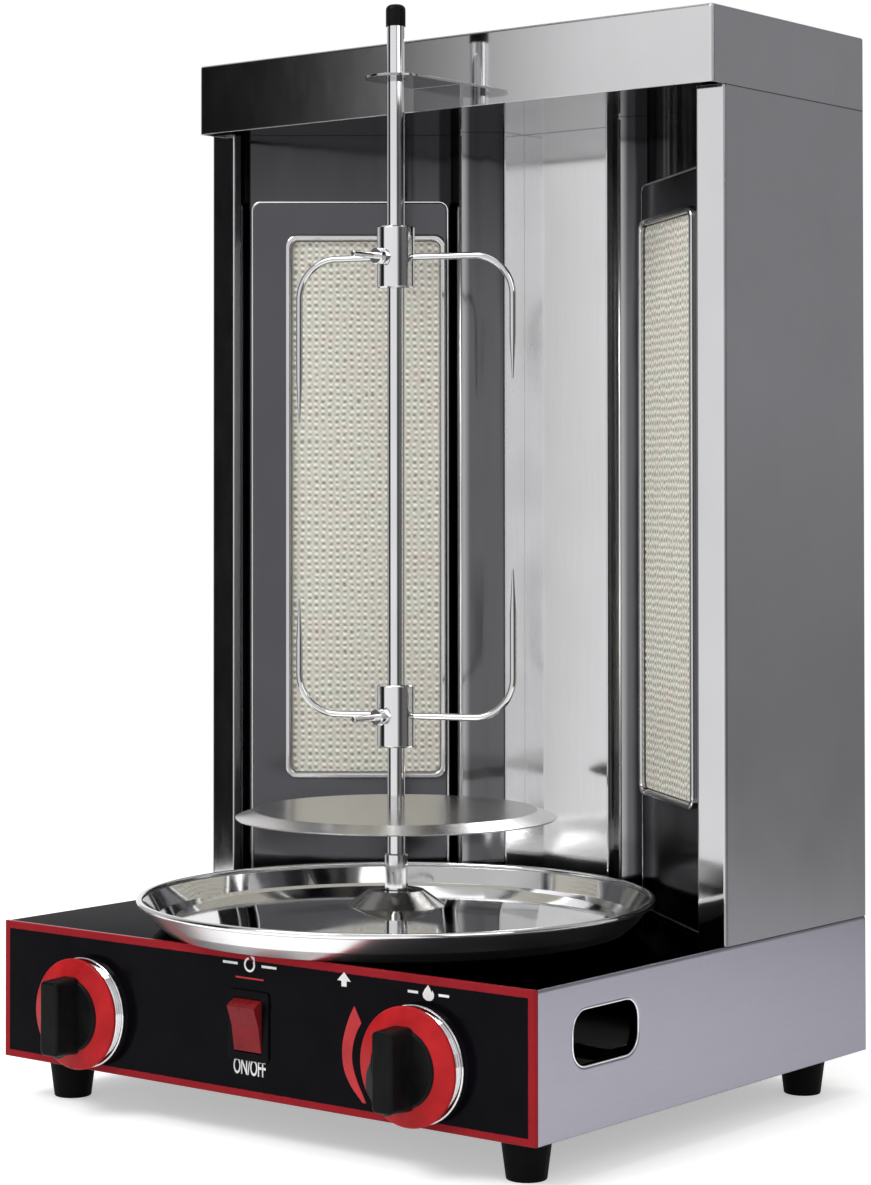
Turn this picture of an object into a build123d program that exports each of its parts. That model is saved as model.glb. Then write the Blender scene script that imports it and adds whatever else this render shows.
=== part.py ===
"""Two-burner gas doner kebab grill with a powered spit.

Millimetres, +Z up, +Y towards the back, the control panel faces -Y.
The origin is on the floor, at the centre of the box round the whole grill.
"""

from build123d import *
from math import atan2, cos, degrees, hypot, radians, sin
import os

os.makedirs("parts", exist_ok=True)

# Overall sizes
body_width = 395.0
base_depth = 340.0
total_height = 640.0
foot_height = 25.0
base_height = 81.0
tower_depth = 157.0
hood_height = 44.5
hood_overhang = 12.0
sheet = 1.0
bend_radius = 2.0
part_gap = 0.3
plate_clearance = 0.2
running_gap = 0.05

# How far the knobs stand out in front and the gas inlet behind
knob_reach = 31.0
inlet_reach = 20.0

# Control panel
panel_thickness = 3.0
panel_edge_round = 0.8

# Main planes that everything else is placed from
half_width = body_width / 2
front_y = (knob_reach - inlet_reach) / 2 - base_depth / 2
rear_y = front_y + base_depth
wall_front_y = front_y + panel_thickness
deck_z = foot_height + base_height
hood_z = total_height - hood_height
tower_y = rear_y - tower_depth
hood_y = tower_y - hood_overhang
floor_z = foot_height + sheet

# Spit axis
spit_reach = 41.0
spit_y = hood_y - spit_reach

# Hand holes in the base sides
hand_hole_length = 61.0
hand_hole_height = 30.5
hand_hole_radius = 12.0
hand_hole_setback = 64.5
hand_hole_drop = 30.8
rim_width = 2.2
rim_depth = 6.0
rim_round = 1.7

# Feet and their screws
foot_inset_x = 27.5
foot_inset_y = 30.0
foot_bottom_radius = 11.0
foot_top_radius = 14.3
foot_recess_radius = 6.5
foot_recess_depth = 9.0
foot_screw_radius = 2.5
foot_screw_head_radius = 5.0
foot_screw_head_height = 3.2
foot_nut_radius = 4.6
foot_nut_height = 4.0
screw_gap = 0.15

# Tower front edges and the cooking chamber's liners
flange_width = 19.5
hem_width = 2.4
hem_depth = 6.0
pocket_front_depth = 17.5
pocket_end_x = 77.5
pocket_end_depth = 99.5
post_x = 62.0
post_depth = 90.0
recess_half_width = 39.5
recess_front_depth = 108.5
recess_back_depth = 129.0
liner_tab = 13.0
liner_bend = 1.6
ceiling_drop = 1.0

# Burners
burner_centre_along = 55.5
burner_rise = 248.0
frame_width = 105.0
frame_height = 354.0
frame_room = 100.0
frame_head_gap = 50.0
frame_border = 4.0
frame_corner = 8.0
frame_depth = 3.0
plate_side_gap = 1.5
plate_bottom_gap = 1.0
plate_top_drop = 42.5
plate_depth = 5.0
plate_corner = 6.0
ceramic_thickness = 12.0
ceramic_recess = 4.0
box_wall = 1.5
box_depth = 31.0
box_ledge = 4.5
tube_setback = 18.0
tube_radius = 11.0
tube_throat_radius = 8.5
tube_mouth_radius = 13.0
tube_wall = 1.2
tube_bottom_drop = 46.0
air_box_height = 22.0
air_window_width = 10.0
air_window_height = 10.0
deck_tube_gap = 1.0

# Gas line
gas_tube_radius = 4.0
gas_tube_drop = 20.0
gas_tube_straight = 40.0
gas_tube_sweep = 70.0
gas_tube_bend = 9.0
injector_radius = 4.0
injector_hex_radius = 6.3
injector_hex_height = 8.0
injector_tip = 7.0
valve_radius = 11.0
valve_front_gap = 5.0
valve_length = 34.0
valve_outlet_radius = 6.0
valve_outlet_length = 8.0
plug_radius = 6.0
plug_length = 29.0
manifold_radius = 7.0
manifold_drop = 20.0
manifold_setback = 28.0
manifold_end_inset = 45.5
manifold_reach = 18.0
manifold_bend = 18.0
inlet_thread_radius = 10.48
inlet_thread_length = 14.0
inlet_hex_radius = 14.5
inlet_bore_radius = 5.0

# Knobs, their spindles and rings
knob_left_inset = 69.0
knob_right_inset = 77.0
knob_drop = 47.3
knob_travel = 3.0
bezel_radius = 32.0
bezel_step_radius = 29.5
bezel_height = 5.0
bezel_step = 2.6
edge_break = 0.6
skirt_radius = 32.2
skirt_rise = 5.2
skirt_edge = 1.9
knob_body_radius = 21.3
knob_body_height = 7.0
grip_width = 15.6
grip_length = 44.5
grip_taper = 2.5
grip_round = 1.6
spindle_radius = 4.0
spindle_depth_in_knob = 15.0
spindle_hole_radius = 6.0
blade_width = 5.0
blade_thickness = 2.5
blade_length = 14.0
blade_gap = 0.15

# Rocker switch
rocker_x = 0.0
rocker_drop = 40.4
rocker_width = 20.0
rocker_end_radius = 14.8
rocker_pivot_depth = 2.0
rocker_top_reach = 10.0
rocker_bottom_reach = 3.8
rocker_dip = 1.0
rocker_back = 6.2
rocker_pin_radius = 1.5
rocker_pin_length = 1.2
rocker_gap = 0.4
housing_wall = 2.0
housing_flange = 2.5
housing_flange_height = 1.4
housing_depth = 24.0
housing_cavity_depth = 16.0

# Motor and drive
motor_radius = 25.0
motor_height = 30.0
gearbox_radius = 32.0
gearbox_height = 22.0
gearbox_boss_radius = 10.0
gearbox_boss_height = 4.0
motor_ear_reach = 42.0
motor_ear_width = 14.0
motor_screw_radius = 2.0
bracket_length = 104.0
bracket_width = 64.0
bracket_drop = 19.0
bracket_flange = 14.0
bracket_sheet = 2.0
shaft_radius = 4.0
shaft_gap_below = 0.3
socket_radius = 7.0
socket_below_deck = 12.0
socket_above_deck = 43.0
socket_shaft_depth = 7.0
tang_rise = 23.0
tang_height = 9.0
tang_width = 7.0
tang_gap = 0.15
bushing_radius = 9.5
bushing_flange_radius = 14.0
bushing_flange_height = 2.0
bushing_depth = 6.0

# Spit
rod_radius = 5.25
rod_gap = 0.1
cap_radius = 5.9
cap_rise = 1.0
cap_length = 13.0
cap_grip = 7.0
disc_radius = 95.5
disc_flat_radius = 84.0
disc_rise = 69.0
disc_rim_drop = 5.0
disc_sheet = 1.5
disc_hub_radius = 12.0
disc_hub_height = 10.0

# Fork collars, wires and thumb screws
collar_radius = 11.3
collar_height = 37.0
upper_collar_drop = 92.5
lower_collar_rise = 55.5
fork_turn = 19.0
wire_radius = 2.0
wire_bend = 24.0
near_reach = 73.0
far_reach = 62.0
upper_near_length = 73.0
upper_far_length = 98.0
lower_near_length = 87.5
lower_far_length = 68.5
wire_tip_length = 26.0
wire_tip_radius = 0.5
boss_radius = 4.85
boss_reach = 15.0
thumb_shank_radius = 2.0
thumb_head_radius = 5.0
thumb_head_thickness = 3.7
thumb_stem_radius = 1.8
thumb_stem_reach = 40.0

# Top bracket that steadies the spit
bracket_half_width = 18.0
bracket_plate = 1.5
bracket_rise = 15.5
bracket_hole_gap = 0.6

# Drip pan, its upper surface given as radius and rise above the deck
pan_hole_radius = 9.5
pan_boss_top_radius = 16.5
pan_boss_top_rise = 21.5
pan_boss_radius = 29.5
pan_boss_rise = 12.4
pan_floor_radius = 131.0
pan_floor_rise = 5.8
pan_gutter_inner_radius = 133.2
pan_gutter_radius = 137.0
pan_wall_radius = 143.0
pan_wall_rise = 6.0
pan_rim_radius = 151.6
pan_rim_rise = 16.6
pan_sheet = 1.0
pan_bead_radius = 1.8

# Back of the casing
rear_vent_count = 9
rear_vent_pitch = 14.0
rear_vent_length = 26.0
rear_vent_width = 4.0
base_vent_drop = 40.0
tower_vent_drop = 35.5
case_screw_radius = 2.0
case_screw_length = 7.0
case_screw_head_radius = 4.0
case_screw_head_height = 2.0
case_screw_inset = 14.0
gland_inset = 77.5
gland_drop = 46.0
gland_radius = 7.0
gland_flange_radius = 11.0
gland_reach = 9.0
gland_depth = 10.0
gland_bore_radius = 4.0

# Values that follow from the sizes above
mouth_half_width = half_width - flange_width
liner_front_x = mouth_half_width + hem_width
pocket_front = (liner_front_x, tower_y + pocket_front_depth)
pocket_end = (pocket_end_x, tower_y + pocket_end_depth)
post = (post_x, tower_y + post_depth)
recess_front = (recess_half_width + sheet, tower_y + recess_front_depth)
recess_back_y = tower_y + recess_back_depth
ceiling_z = hood_z + ceiling_drop
knob_z = deck_z - knob_drop
knob_places = {"left": knob_left_inset - half_width, "right": half_width - knob_right_inset}
rocker_z = deck_z - rocker_drop
hand_hole_z = deck_z - hand_hole_drop
frame_fit = min(frame_height, hood_z - deck_z - frame_room)
burner_centre_z = min(deck_z + burner_rise, hood_z - frame_head_gap - frame_fit / 2)
plate_top_z = hood_z - plate_top_drop
tube_bottom_z = deck_z - tube_bottom_drop
gas_tube_low_z = tube_bottom_z - gas_tube_drop
socket_bottom_z = deck_z - socket_below_deck
socket_top_z = deck_z + socket_above_deck
tang_z = deck_z + tang_rise
cap_bottom_z = total_height + cap_rise
cap_top_z = cap_bottom_z + cap_length
rod_top_z = cap_bottom_z + cap_grip
disc_top_z = deck_z + disc_rise
disc_rim_z = disc_top_z - disc_rim_drop
upper_collar_z = hood_z - upper_collar_drop
lower_collar_z = disc_top_z + lower_collar_rise
bracket_top_z = hood_z + bracket_rise
pan_boss_top_z = deck_z + pan_boss_top_rise
pan_boss_z = deck_z + pan_boss_rise
pan_floor_z = deck_z + pan_floor_rise
pan_wall_z = deck_z + pan_wall_rise
pan_rim_z = deck_z + pan_rim_rise
base_vent_z = deck_z - base_vent_drop
tower_vent_z = hood_z - tower_vent_drop
gland_x = gland_inset - half_width
gland_z = deck_z - gland_drop
foot_x = half_width - foot_inset_x
foot_y = base_depth / 2 - foot_inset_y
foot_centre_y = (front_y + rear_y) / 2
opening_width = frame_width - 2 * frame_border
opening_height = frame_fit - 2 * frame_border
opening_corner = frame_corner - frame_border + 1.0
manifold_y = wall_front_y + manifold_setback
manifold_z = knob_z - manifold_drop
knob_base = bezel_height + knob_travel + part_gap

# Working planes
front_plane = Plane(origin=(0, front_y, 0), x_dir=(1, 0, 0), z_dir=(0, -1, 0))
rear_plane = Plane(origin=(0, rear_y, 0), x_dir=(-1, 0, 0), z_dir=(0, 1, 0))
spit_plane = Plane(origin=(0, spit_y, 0), x_dir=(1, 0, 0), z_dir=(0, -1, 0))
pocket_length = hypot(pocket_front[0] - pocket_end[0], pocket_front[1] - pocket_end[1])
along = (
    (pocket_front[0] - pocket_end[0]) / pocket_length,
    (pocket_front[1] - pocket_end[1]) / pocket_length,
)
# In this plane X runs from the back of the burner pocket to its front, Y is up
# and Z points out of the pocket into the cooking chamber.
burner_plane = Plane(
    origin=(pocket_end[0], pocket_end[1], 0),
    x_dir=(along[0], along[1], 0),
    z_dir=(along[1], -along[0], 0),
)
burner_axis = Axis(burner_plane.origin, burner_plane.z_dir)
tube_place = burner_plane.from_local_coords((burner_centre_along, 0, -tube_setback))
tube_x, tube_y = tube_place.X, tube_place.Y
manifold_end_x = max(half_width - manifold_end_inset, tube_x + manifold_reach)

pieces = {}


def folded_strip(points, radius, thickness):
    """Closed profile of a strip of sheet folded along the given points."""
    with BuildSketch() as strip:
        with BuildLine():
            FilletPolyline(*points, radius=radius)
            offset(amount=thickness, side=Side.RIGHT)
        make_face()
    return strip.sketch


def panel_openings():
    """Holes for the two spindles and the rocker switch."""
    with BuildSketch(front_plane) as openings:
        with Locations(*[(x, knob_z) for x in knob_places.values()]):
            Circle(spindle_hole_radius)
        with Locations((rocker_x, rocker_z)):
            Rectangle(
                rocker_width + 2 * (rocker_gap + housing_wall),
                2 * (rocker_end_radius + rocker_gap + housing_wall),
            )
    return openings.sketch


def rear_vents(height):
    """A row of upright slots in the back, centred at the given height."""
    with BuildSketch(rear_plane) as vents:
        with Locations((0, height)):
            with GridLocations(rear_vent_pitch, 0, rear_vent_count, 1):
                SlotOverall(rear_vent_length, rear_vent_width, rotation=90)
    return vents.sketch


def case_screw_points(*heights):
    """Places of the case screws on the back, in the rear plane."""
    x = half_width - case_screw_inset
    return [(side * x, z) for z in heights for side in (-1, 1)]


base_screws = case_screw_points(deck_z - case_screw_inset)
tower_screws = case_screw_points(
    deck_z + case_screw_inset, (deck_z + hood_z) / 2, hood_z - case_screw_inset
)
hood_screws = case_screw_points((hood_z + total_height) / 2)


# Base
with BuildPart() as base_shell:
    with BuildSketch(Plane.XY.offset(foot_height)):
        with Locations((0, (wall_front_y + rear_y) / 2)):
            Rectangle(body_width, rear_y - wall_front_y)
    extrude(amount=base_height)
    fillet(base_shell.edges().filter_by(Axis.Z).group_by(Axis.Y)[-1], bend_radius)
    top_edges = base_shell.faces().sort_by(Axis.Z)[-1].edges().sort_by(Axis.Y)
    fillet(top_edges[1:], bend_radius)
    offset(amount=-sheet, openings=base_shell.faces().sort_by(Axis.Z)[0])
    extrude(panel_openings(), amount=-(panel_thickness + 2 * sheet), mode=Mode.SUBTRACT)
    for side in (-1, 1):
        side_plane = Plane(origin=(side * half_width, 0, 0), x_dir=(0, side, 0), z_dir=(side, 0, 0))
        hand_hole_place = (side * (front_y + hand_hole_setback), hand_hole_z)
        with BuildSketch(side_plane):
            with Locations(hand_hole_place):
                RectangleRounded(
                    hand_hole_length + 2 * rim_width,
                    hand_hole_height + 2 * rim_width,
                    hand_hole_radius + rim_width,
                )
        extrude(amount=-rim_depth)
        with BuildSketch(side_plane):
            with Locations(hand_hole_place):
                RectangleRounded(hand_hole_length, hand_hole_height, hand_hole_radius)
        extrude(amount=-rim_depth, mode=Mode.SUBTRACT)
        mouth = base_shell.edges().filter_by_position(
            Axis.X, side * half_width - 0.01, side * half_width + 0.01
        )
        mouth = mouth.filter_by_position(Axis.Z, hand_hole_z - hand_hole_height, deck_z - bend_radius - 1)
        mouth = mouth.filter_by_position(Axis.Y, wall_front_y + 1, rear_y - bend_radius - 1)
        fillet(mouth, rim_round)
    with BuildSketch(Plane.XY.offset(deck_z)):
        with Locations((0, spit_y)):
            Circle(bushing_radius)
        with Locations((tube_x, tube_y), (-tube_x, tube_y)):
            Circle(tube_mouth_radius + deck_tube_gap)
    extrude(amount=-2 * sheet, mode=Mode.SUBTRACT)
    extrude(rear_vents(base_vent_z), amount=-2 * sheet, mode=Mode.SUBTRACT)
    with BuildSketch(rear_plane):
        with Locations((-manifold_end_x, manifold_z)):
            Circle(inlet_thread_radius + part_gap)
        with Locations((-gland_x, gland_z)):
            Circle(gland_radius)
        with Locations(*base_screws):
            Circle(case_screw_radius + screw_gap)
    extrude(amount=-2 * sheet, mode=Mode.SUBTRACT)
pieces["base_shell"] = base_shell

with BuildPart() as control_panel:
    with BuildSketch(front_plane):
        with Locations((0, (foot_height + deck_z) / 2)):
            Rectangle(body_width, base_height)
    extrude(amount=-panel_thickness)
    fillet(control_panel.faces().sort_by(Axis.Y)[0].edges(), panel_edge_round)
    extrude(panel_openings(), amount=-panel_thickness, mode=Mode.SUBTRACT)
pieces["control_panel"] = control_panel

with BuildPart() as bottom_plate:
    with BuildSketch(Plane.XY.offset(foot_height)):
        with Locations((0, (wall_front_y + rear_y) / 2)):
            RectangleRounded(
                body_width - 2 * (sheet + plate_clearance),
                rear_y - wall_front_y - 2 * (sheet + plate_clearance),
                bend_radius,
            )
        with Locations((0, foot_centre_y)):
            with GridLocations(2 * foot_x, 2 * foot_y, 2, 2):
                Circle(foot_screw_radius + screw_gap, mode=Mode.SUBTRACT)
        with Locations((0, spit_y)):
            with GridLocations(rear_vent_pitch, 0, rear_vent_count - 2, 1):
                SlotOverall(2 * rear_vent_length, rear_vent_width, rotation=90, mode=Mode.SUBTRACT)
    extrude(amount=sheet)
pieces["bottom_plate"] = bottom_plate

with BuildPart() as rubber_feet:
    with BuildSketch(Plane.XY):
        with Locations((0, foot_centre_y)):
            with GridLocations(2 * foot_x, 2 * foot_y, 2, 2):
                Circle(foot_bottom_radius)
    foot_taper = degrees(atan2(foot_top_radius - foot_bottom_radius, foot_height))
    extrude(amount=foot_height, taper=-foot_taper)
    fillet(rubber_feet.edges().group_by(Axis.Z)[0], 1.0)
    with BuildSketch(Plane.XY):
        with Locations((0, foot_centre_y)):
            with GridLocations(2 * foot_x, 2 * foot_y, 2, 2):
                Circle(foot_recess_radius)
    extrude(amount=foot_recess_depth, mode=Mode.SUBTRACT)
    with BuildSketch(Plane.XY):
        with Locations((0, foot_centre_y)):
            with GridLocations(2 * foot_x, 2 * foot_y, 2, 2):
                Circle(foot_screw_radius + screw_gap)
    extrude(amount=foot_height, mode=Mode.SUBTRACT)
pieces["rubber_feet"] = rubber_feet

with BuildPart() as foot_screws:
    nut_top = floor_z + foot_nut_height
    with Locations((0, foot_centre_y, 0)):
        with GridLocations(2 * foot_x, 2 * foot_y, 2, 2):
            with Locations((0, 0, foot_recess_depth)):
                Cylinder(
                    foot_screw_head_radius,
                    foot_screw_head_height,
                    align=(Align.CENTER, Align.CENTER, Align.MAX),
                )
                Cylinder(
                    foot_screw_radius,
                    nut_top + 1.5 - foot_recess_depth,
                    align=(Align.CENTER, Align.CENTER, Align.MIN),
                )
    with BuildSketch(Plane.XY.offset(floor_z)):
        with Locations((0, foot_centre_y)):
            with GridLocations(2 * foot_x, 2 * foot_y, 2, 2):
                RegularPolygon(foot_nut_radius, 6)
    extrude(amount=foot_nut_height)
pieces["foot_screws"] = foot_screws


# Tower and hood
with BuildPart() as tower_shell:
    with BuildSketch(Plane.XY.offset(deck_z)):
        with Locations((0, (tower_y + rear_y) / 2)):
            RectangleRounded(body_width, tower_depth, bend_radius)
            RectangleRounded(
                body_width - 2 * sheet,
                tower_depth - 2 * sheet,
                bend_radius - sheet,
                mode=Mode.SUBTRACT,
            )
        with Locations((0, tower_y + sheet / 2)):
            Rectangle(2 * mouth_half_width, sheet, mode=Mode.SUBTRACT)
        for side in (-1, 1):
            with Locations((side * (mouth_half_width + hem_width / 2), tower_y + hem_depth / 2)):
                Rectangle(hem_width, hem_depth)
    extrude(amount=hood_z - deck_z)
    hem_edges = tower_shell.edges().filter_by(Axis.Z).filter_by_position(
        Axis.X, -mouth_half_width - 0.01, mouth_half_width + 0.01
    )
    fillet(hem_edges.filter_by_position(Axis.Y, tower_y - 0.01, tower_y + 0.01), sheet)
    extrude(rear_vents(tower_vent_z), amount=-2 * sheet, mode=Mode.SUBTRACT)
    with BuildSketch(rear_plane):
        with Locations(*tower_screws):
            Circle(case_screw_radius + screw_gap)
    extrude(amount=-2 * sheet, mode=Mode.SUBTRACT)
pieces["tower_shell"] = tower_shell

with BuildPart() as hood:
    with BuildSketch(Plane.XY.offset(hood_z)):
        with Locations((0, (hood_y + rear_y) / 2)):
            Rectangle(body_width, rear_y - hood_y)
    extrude(amount=hood_height)
    fillet(hood.edges().filter_by(Axis.Z), bend_radius)
    fillet(hood.faces().sort_by(Axis.Z)[-1].edges(), bend_radius - sheet / 2)
    offset(amount=-sheet, openings=hood.faces().sort_by(Axis.Z)[0])
    with BuildSketch(rear_plane):
        with Locations(*hood_screws):
            Circle(case_screw_radius + screw_gap)
    extrude(amount=-2 * sheet, mode=Mode.SUBTRACT)
pieces["hood"] = hood

with BuildPart() as ceiling_plate:
    with BuildSketch(Plane.XY.offset(ceiling_z)):
        with Locations((0, (hood_y + rear_y) / 2)):
            RectangleRounded(
                body_width - 2 * sheet, rear_y - hood_y - 2 * sheet, bend_radius - sheet
            )
    extrude(amount=sheet)
pieces["ceiling_plate"] = ceiling_plate

with BuildPart() as case_screws:
    with BuildSketch(rear_plane):
        with Locations(*(base_screws + tower_screws + hood_screws)):
            Circle(case_screw_head_radius)
    extrude(amount=case_screw_head_height)
    fillet(case_screws.edges().group_by(Axis.Y)[-1], case_screw_head_height / 3)
    with BuildSketch(rear_plane):
        with Locations(*(base_screws + tower_screws + hood_screws)):
            Circle(case_screw_radius)
    extrude(amount=-case_screw_length)
pieces["case_screws"] = case_screws


# Cooking chamber liners
with BuildPart() as back_liner:
    with BuildSketch(Plane.XY.offset(deck_z)):
        with Locations((0, (recess_front[1] + recess_back_y + sheet) / 2)):
            Rectangle(2 * recess_front[0], recess_back_y + sheet - recess_front[1])
        with Locations((0, (recess_front[1] + recess_back_y) / 2)):
            Rectangle(2 * recess_half_width, recess_back_y - recess_front[1], mode=Mode.SUBTRACT)
    extrude(amount=ceiling_z - deck_z)
    outer_corners = back_liner.edges().filter_by(Axis.Z).group_by(Axis.Y)[-1]
    fillet(outer_corners, liner_bend)
pieces["back_liner"] = back_liner

with BuildPart() as right_liner:
    with BuildSketch(Plane.XY.offset(deck_z)):
        add(
            folded_strip(
                [
                    (liner_front_x, tower_y + sheet),
                    pocket_front,
                    pocket_end,
                    post,
                    recess_front,
                    (recess_front[0], recess_front[1] + liner_tab),
                ],
                liner_bend,
                sheet,
            )
        )
    extrude(amount=ceiling_z - deck_z)
    with BuildSketch(burner_plane):
        with Locations((burner_centre_along, burner_centre_z)):
            RectangleRounded(
                opening_width + 2 * box_wall,
                opening_height + 2 * box_wall,
                opening_corner,
            )
    extrude(amount=2 * sheet, both=True, mode=Mode.SUBTRACT)
pieces["right_liner"] = right_liner


# Burners, made for the right side and mirrored to the left
with BuildPart() as right_burner_plate:
    plate_bottom_z = deck_z + plate_bottom_gap
    with BuildSketch(burner_plane):
        with Locations((pocket_length / 2, (plate_bottom_z + plate_top_z) / 2)):
            RectangleRounded(
                pocket_length - 2 * plate_side_gap, plate_top_z - plate_bottom_z, plate_corner
            )
    extrude(amount=plate_depth)
    plate_front = right_burner_plate.faces().sort_by(burner_axis)[-1]
    fillet(plate_front.edges(), bend_radius)
    plate_back = right_burner_plate.faces().sort_by(burner_axis)[0]
    offset(amount=-sheet, openings=plate_back)
    with BuildSketch(burner_plane):
        with Locations((burner_centre_along, burner_centre_z)):
            RectangleRounded(opening_width, opening_height, opening_corner)
    extrude(amount=plate_depth, mode=Mode.SUBTRACT)
pieces["right_burner_plate"] = right_burner_plate

with BuildPart() as right_burner_frame:
    with BuildSketch(burner_plane.offset(plate_depth)):
        with Locations((burner_centre_along, burner_centre_z)):
            RectangleRounded(frame_width, frame_fit, frame_corner)
            RectangleRounded(opening_width, opening_height, opening_corner, mode=Mode.SUBTRACT)
    extrude(amount=frame_depth)
    frame_front = right_burner_frame.faces().sort_by(burner_axis)[-1]
    fillet(frame_front.edges(), frame_depth / 2)
pieces["right_burner_frame"] = right_burner_frame

with BuildPart() as right_ceramic:
    ceramic_front = plate_depth + frame_depth - ceramic_recess
    with BuildSketch(burner_plane.offset(ceramic_front)):
        with Locations((burner_centre_along, burner_centre_z)):
            RectangleRounded(
                opening_width - 2 * part_gap,
                opening_height - 2 * part_gap,
                opening_corner - part_gap,
            )
    extrude(amount=-ceramic_thickness)
pieces["right_ceramic"] = right_ceramic

with BuildPart() as right_burner_box:
    ledge_depth = ceramic_thickness - ceramic_front
    with BuildSketch(burner_plane.offset(-sheet)):
        with Locations((burner_centre_along, burner_centre_z)):
            RectangleRounded(
                opening_width + 4 * box_wall, opening_height + 4 * box_wall, opening_corner
            )
    extrude(amount=-box_depth)
    with BuildSketch(burner_plane.offset(-sheet)):
        with Locations((burner_centre_along, burner_centre_z)):
            RectangleRounded(opening_width, opening_height, opening_corner)
    extrude(amount=-(ledge_depth - sheet), mode=Mode.SUBTRACT)
    with BuildSketch(burner_plane.offset(-sheet)):
        with Locations((burner_centre_along, burner_centre_z)):
            RectangleRounded(
                opening_width - 2 * box_ledge, opening_height - 2 * box_ledge, opening_corner
            )
    extrude(amount=-(box_depth - box_wall), mode=Mode.SUBTRACT)
    box_bottom_z = burner_centre_z - opening_height / 2 - 2 * box_wall
    with BuildSketch(Plane.XY.offset(box_bottom_z)):
        with Locations((tube_x, tube_y)):
            Circle(tube_radius - tube_wall)
    extrude(amount=3 * box_ledge, mode=Mode.SUBTRACT)
pieces["right_burner_box"] = right_burner_box

with BuildPart() as right_mixing_tube:
    air_top_z = tube_bottom_z + air_box_height
    throat_z = air_top_z + 12.0
    cone_z = throat_z + 18.0
    tube_profile_plane = Plane(origin=(tube_x, tube_y, 0), x_dir=(1, 0, 0), z_dir=(0, -1, 0))
    with BuildSketch(tube_profile_plane):
        with BuildLine():
            Polyline(
                (injector_radius + screw_gap, tube_bottom_z),
                (tube_mouth_radius, tube_bottom_z),
                (tube_mouth_radius, air_top_z),
                (tube_throat_radius, throat_z),
                (tube_throat_radius, cone_z),
                (tube_radius, cone_z + 30.0),
                (tube_radius, box_bottom_z),
                (tube_radius - tube_wall, box_bottom_z),
                (tube_radius - tube_wall, cone_z + 30.0),
                (tube_throat_radius - tube_wall, cone_z),
                (tube_throat_radius - tube_wall, throat_z),
                (tube_mouth_radius - tube_wall, air_top_z),
                (tube_mouth_radius - tube_wall, tube_bottom_z + 2 * tube_wall),
                (injector_radius + screw_gap, tube_bottom_z + 2 * tube_wall),
                close=True,
            )
        make_face()
    revolve(axis=Axis((tube_x, tube_y, 0), (0, 0, 1)))
    for turn in (45, 135):
        with BuildSketch(Plane.XY.offset(tube_bottom_z + air_box_height / 2 - air_window_height / 2)):
            with Locations((tube_x, tube_y)):
                Rectangle(3 * tube_mouth_radius, air_window_width, rotation=turn)
        extrude(amount=air_window_height, mode=Mode.SUBTRACT)
pieces["right_mixing_tube"] = right_mixing_tube

with BuildPart() as left_liner:
    mirror(right_liner.part, about=Plane.YZ)
pieces["left_liner"] = left_liner

with BuildPart() as left_burner_plate:
    mirror(right_burner_plate.part, about=Plane.YZ)
pieces["left_burner_plate"] = left_burner_plate

with BuildPart() as left_burner_frame:
    mirror(right_burner_frame.part, about=Plane.YZ)
pieces["left_burner_frame"] = left_burner_frame

with BuildPart() as left_ceramic:
    mirror(right_ceramic.part, about=Plane.YZ)
pieces["left_ceramic"] = left_ceramic

with BuildPart() as left_burner_box:
    mirror(right_burner_box.part, about=Plane.YZ)
pieces["left_burner_box"] = left_burner_box

with BuildPart() as left_mixing_tube:
    mirror(right_mixing_tube.part, about=Plane.YZ)
pieces["left_mixing_tube"] = left_mixing_tube


# Gas line
injector_bottom_z = tube_bottom_z - injector_hex_height

with BuildPart() as gas_injectors:
    for side in (-1, 1):
        with BuildSketch(Plane.XY.offset(injector_bottom_z)):
            with Locations((side * tube_x, tube_y)):
                RegularPolygon(injector_hex_radius, 6)
        extrude(amount=injector_hex_height)
        with Locations((side * tube_x, tube_y, tube_bottom_z)):
            Cylinder(
                injector_radius,
                3 * tube_wall,
                align=(Align.CENTER, Align.CENTER, Align.MIN),
            )
        with Locations((side * tube_x, tube_y, tube_bottom_z + 3 * tube_wall)):
            Cone(
                injector_radius,
                injector_radius / 3,
                injector_tip,
                align=(Align.CENTER, Align.CENTER, Align.MIN),
            )
pieces["gas_injectors"] = gas_injectors

valve_front_y = wall_front_y + sheet + valve_front_gap
valve_rear_y = valve_front_y + valve_length
outlet_y = valve_rear_y + valve_outlet_length


def gas_valve(x):
    """Brass tap body on the manifold, with the bore for its plug."""
    place = Plane(origin=(x, valve_front_y, knob_z), x_dir=(1, 0, 0), z_dir=(0, 1, 0))
    with BuildPart() as valve:
        with BuildSketch(place):
            Circle(valve_radius)
        extrude(amount=valve_length)
        with BuildSketch(place.offset(valve_length)):
            Circle(valve_outlet_radius)
        extrude(amount=valve_outlet_length)
        with BuildSketch(Plane.XY.offset(knob_z)):
            with Locations((x, manifold_y)):
                Rectangle(1.5 * valve_radius, 1.5 * valve_radius)
        extrude(amount=-(manifold_drop - manifold_radius))
        with BuildSketch(place):
            Circle(plug_radius + running_gap)
        extrude(amount=plug_length + 2 * part_gap, mode=Mode.SUBTRACT)
    return valve


def valve_plug(x):
    """Turning plug of a tap, slotted for the spindle's blade."""
    place = Plane(origin=(x, valve_front_y + part_gap, knob_z), x_dir=(1, 0, 0), z_dir=(0, 1, 0))
    with BuildPart() as plug:
        with BuildSketch(place):
            Circle(plug_radius)
        extrude(amount=plug_length)
        with BuildSketch(place):
            Rectangle(blade_width + 2 * blade_gap, blade_thickness + 2 * blade_gap)
        extrude(amount=blade_length + knob_travel, mode=Mode.SUBTRACT)
    return plug


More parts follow.
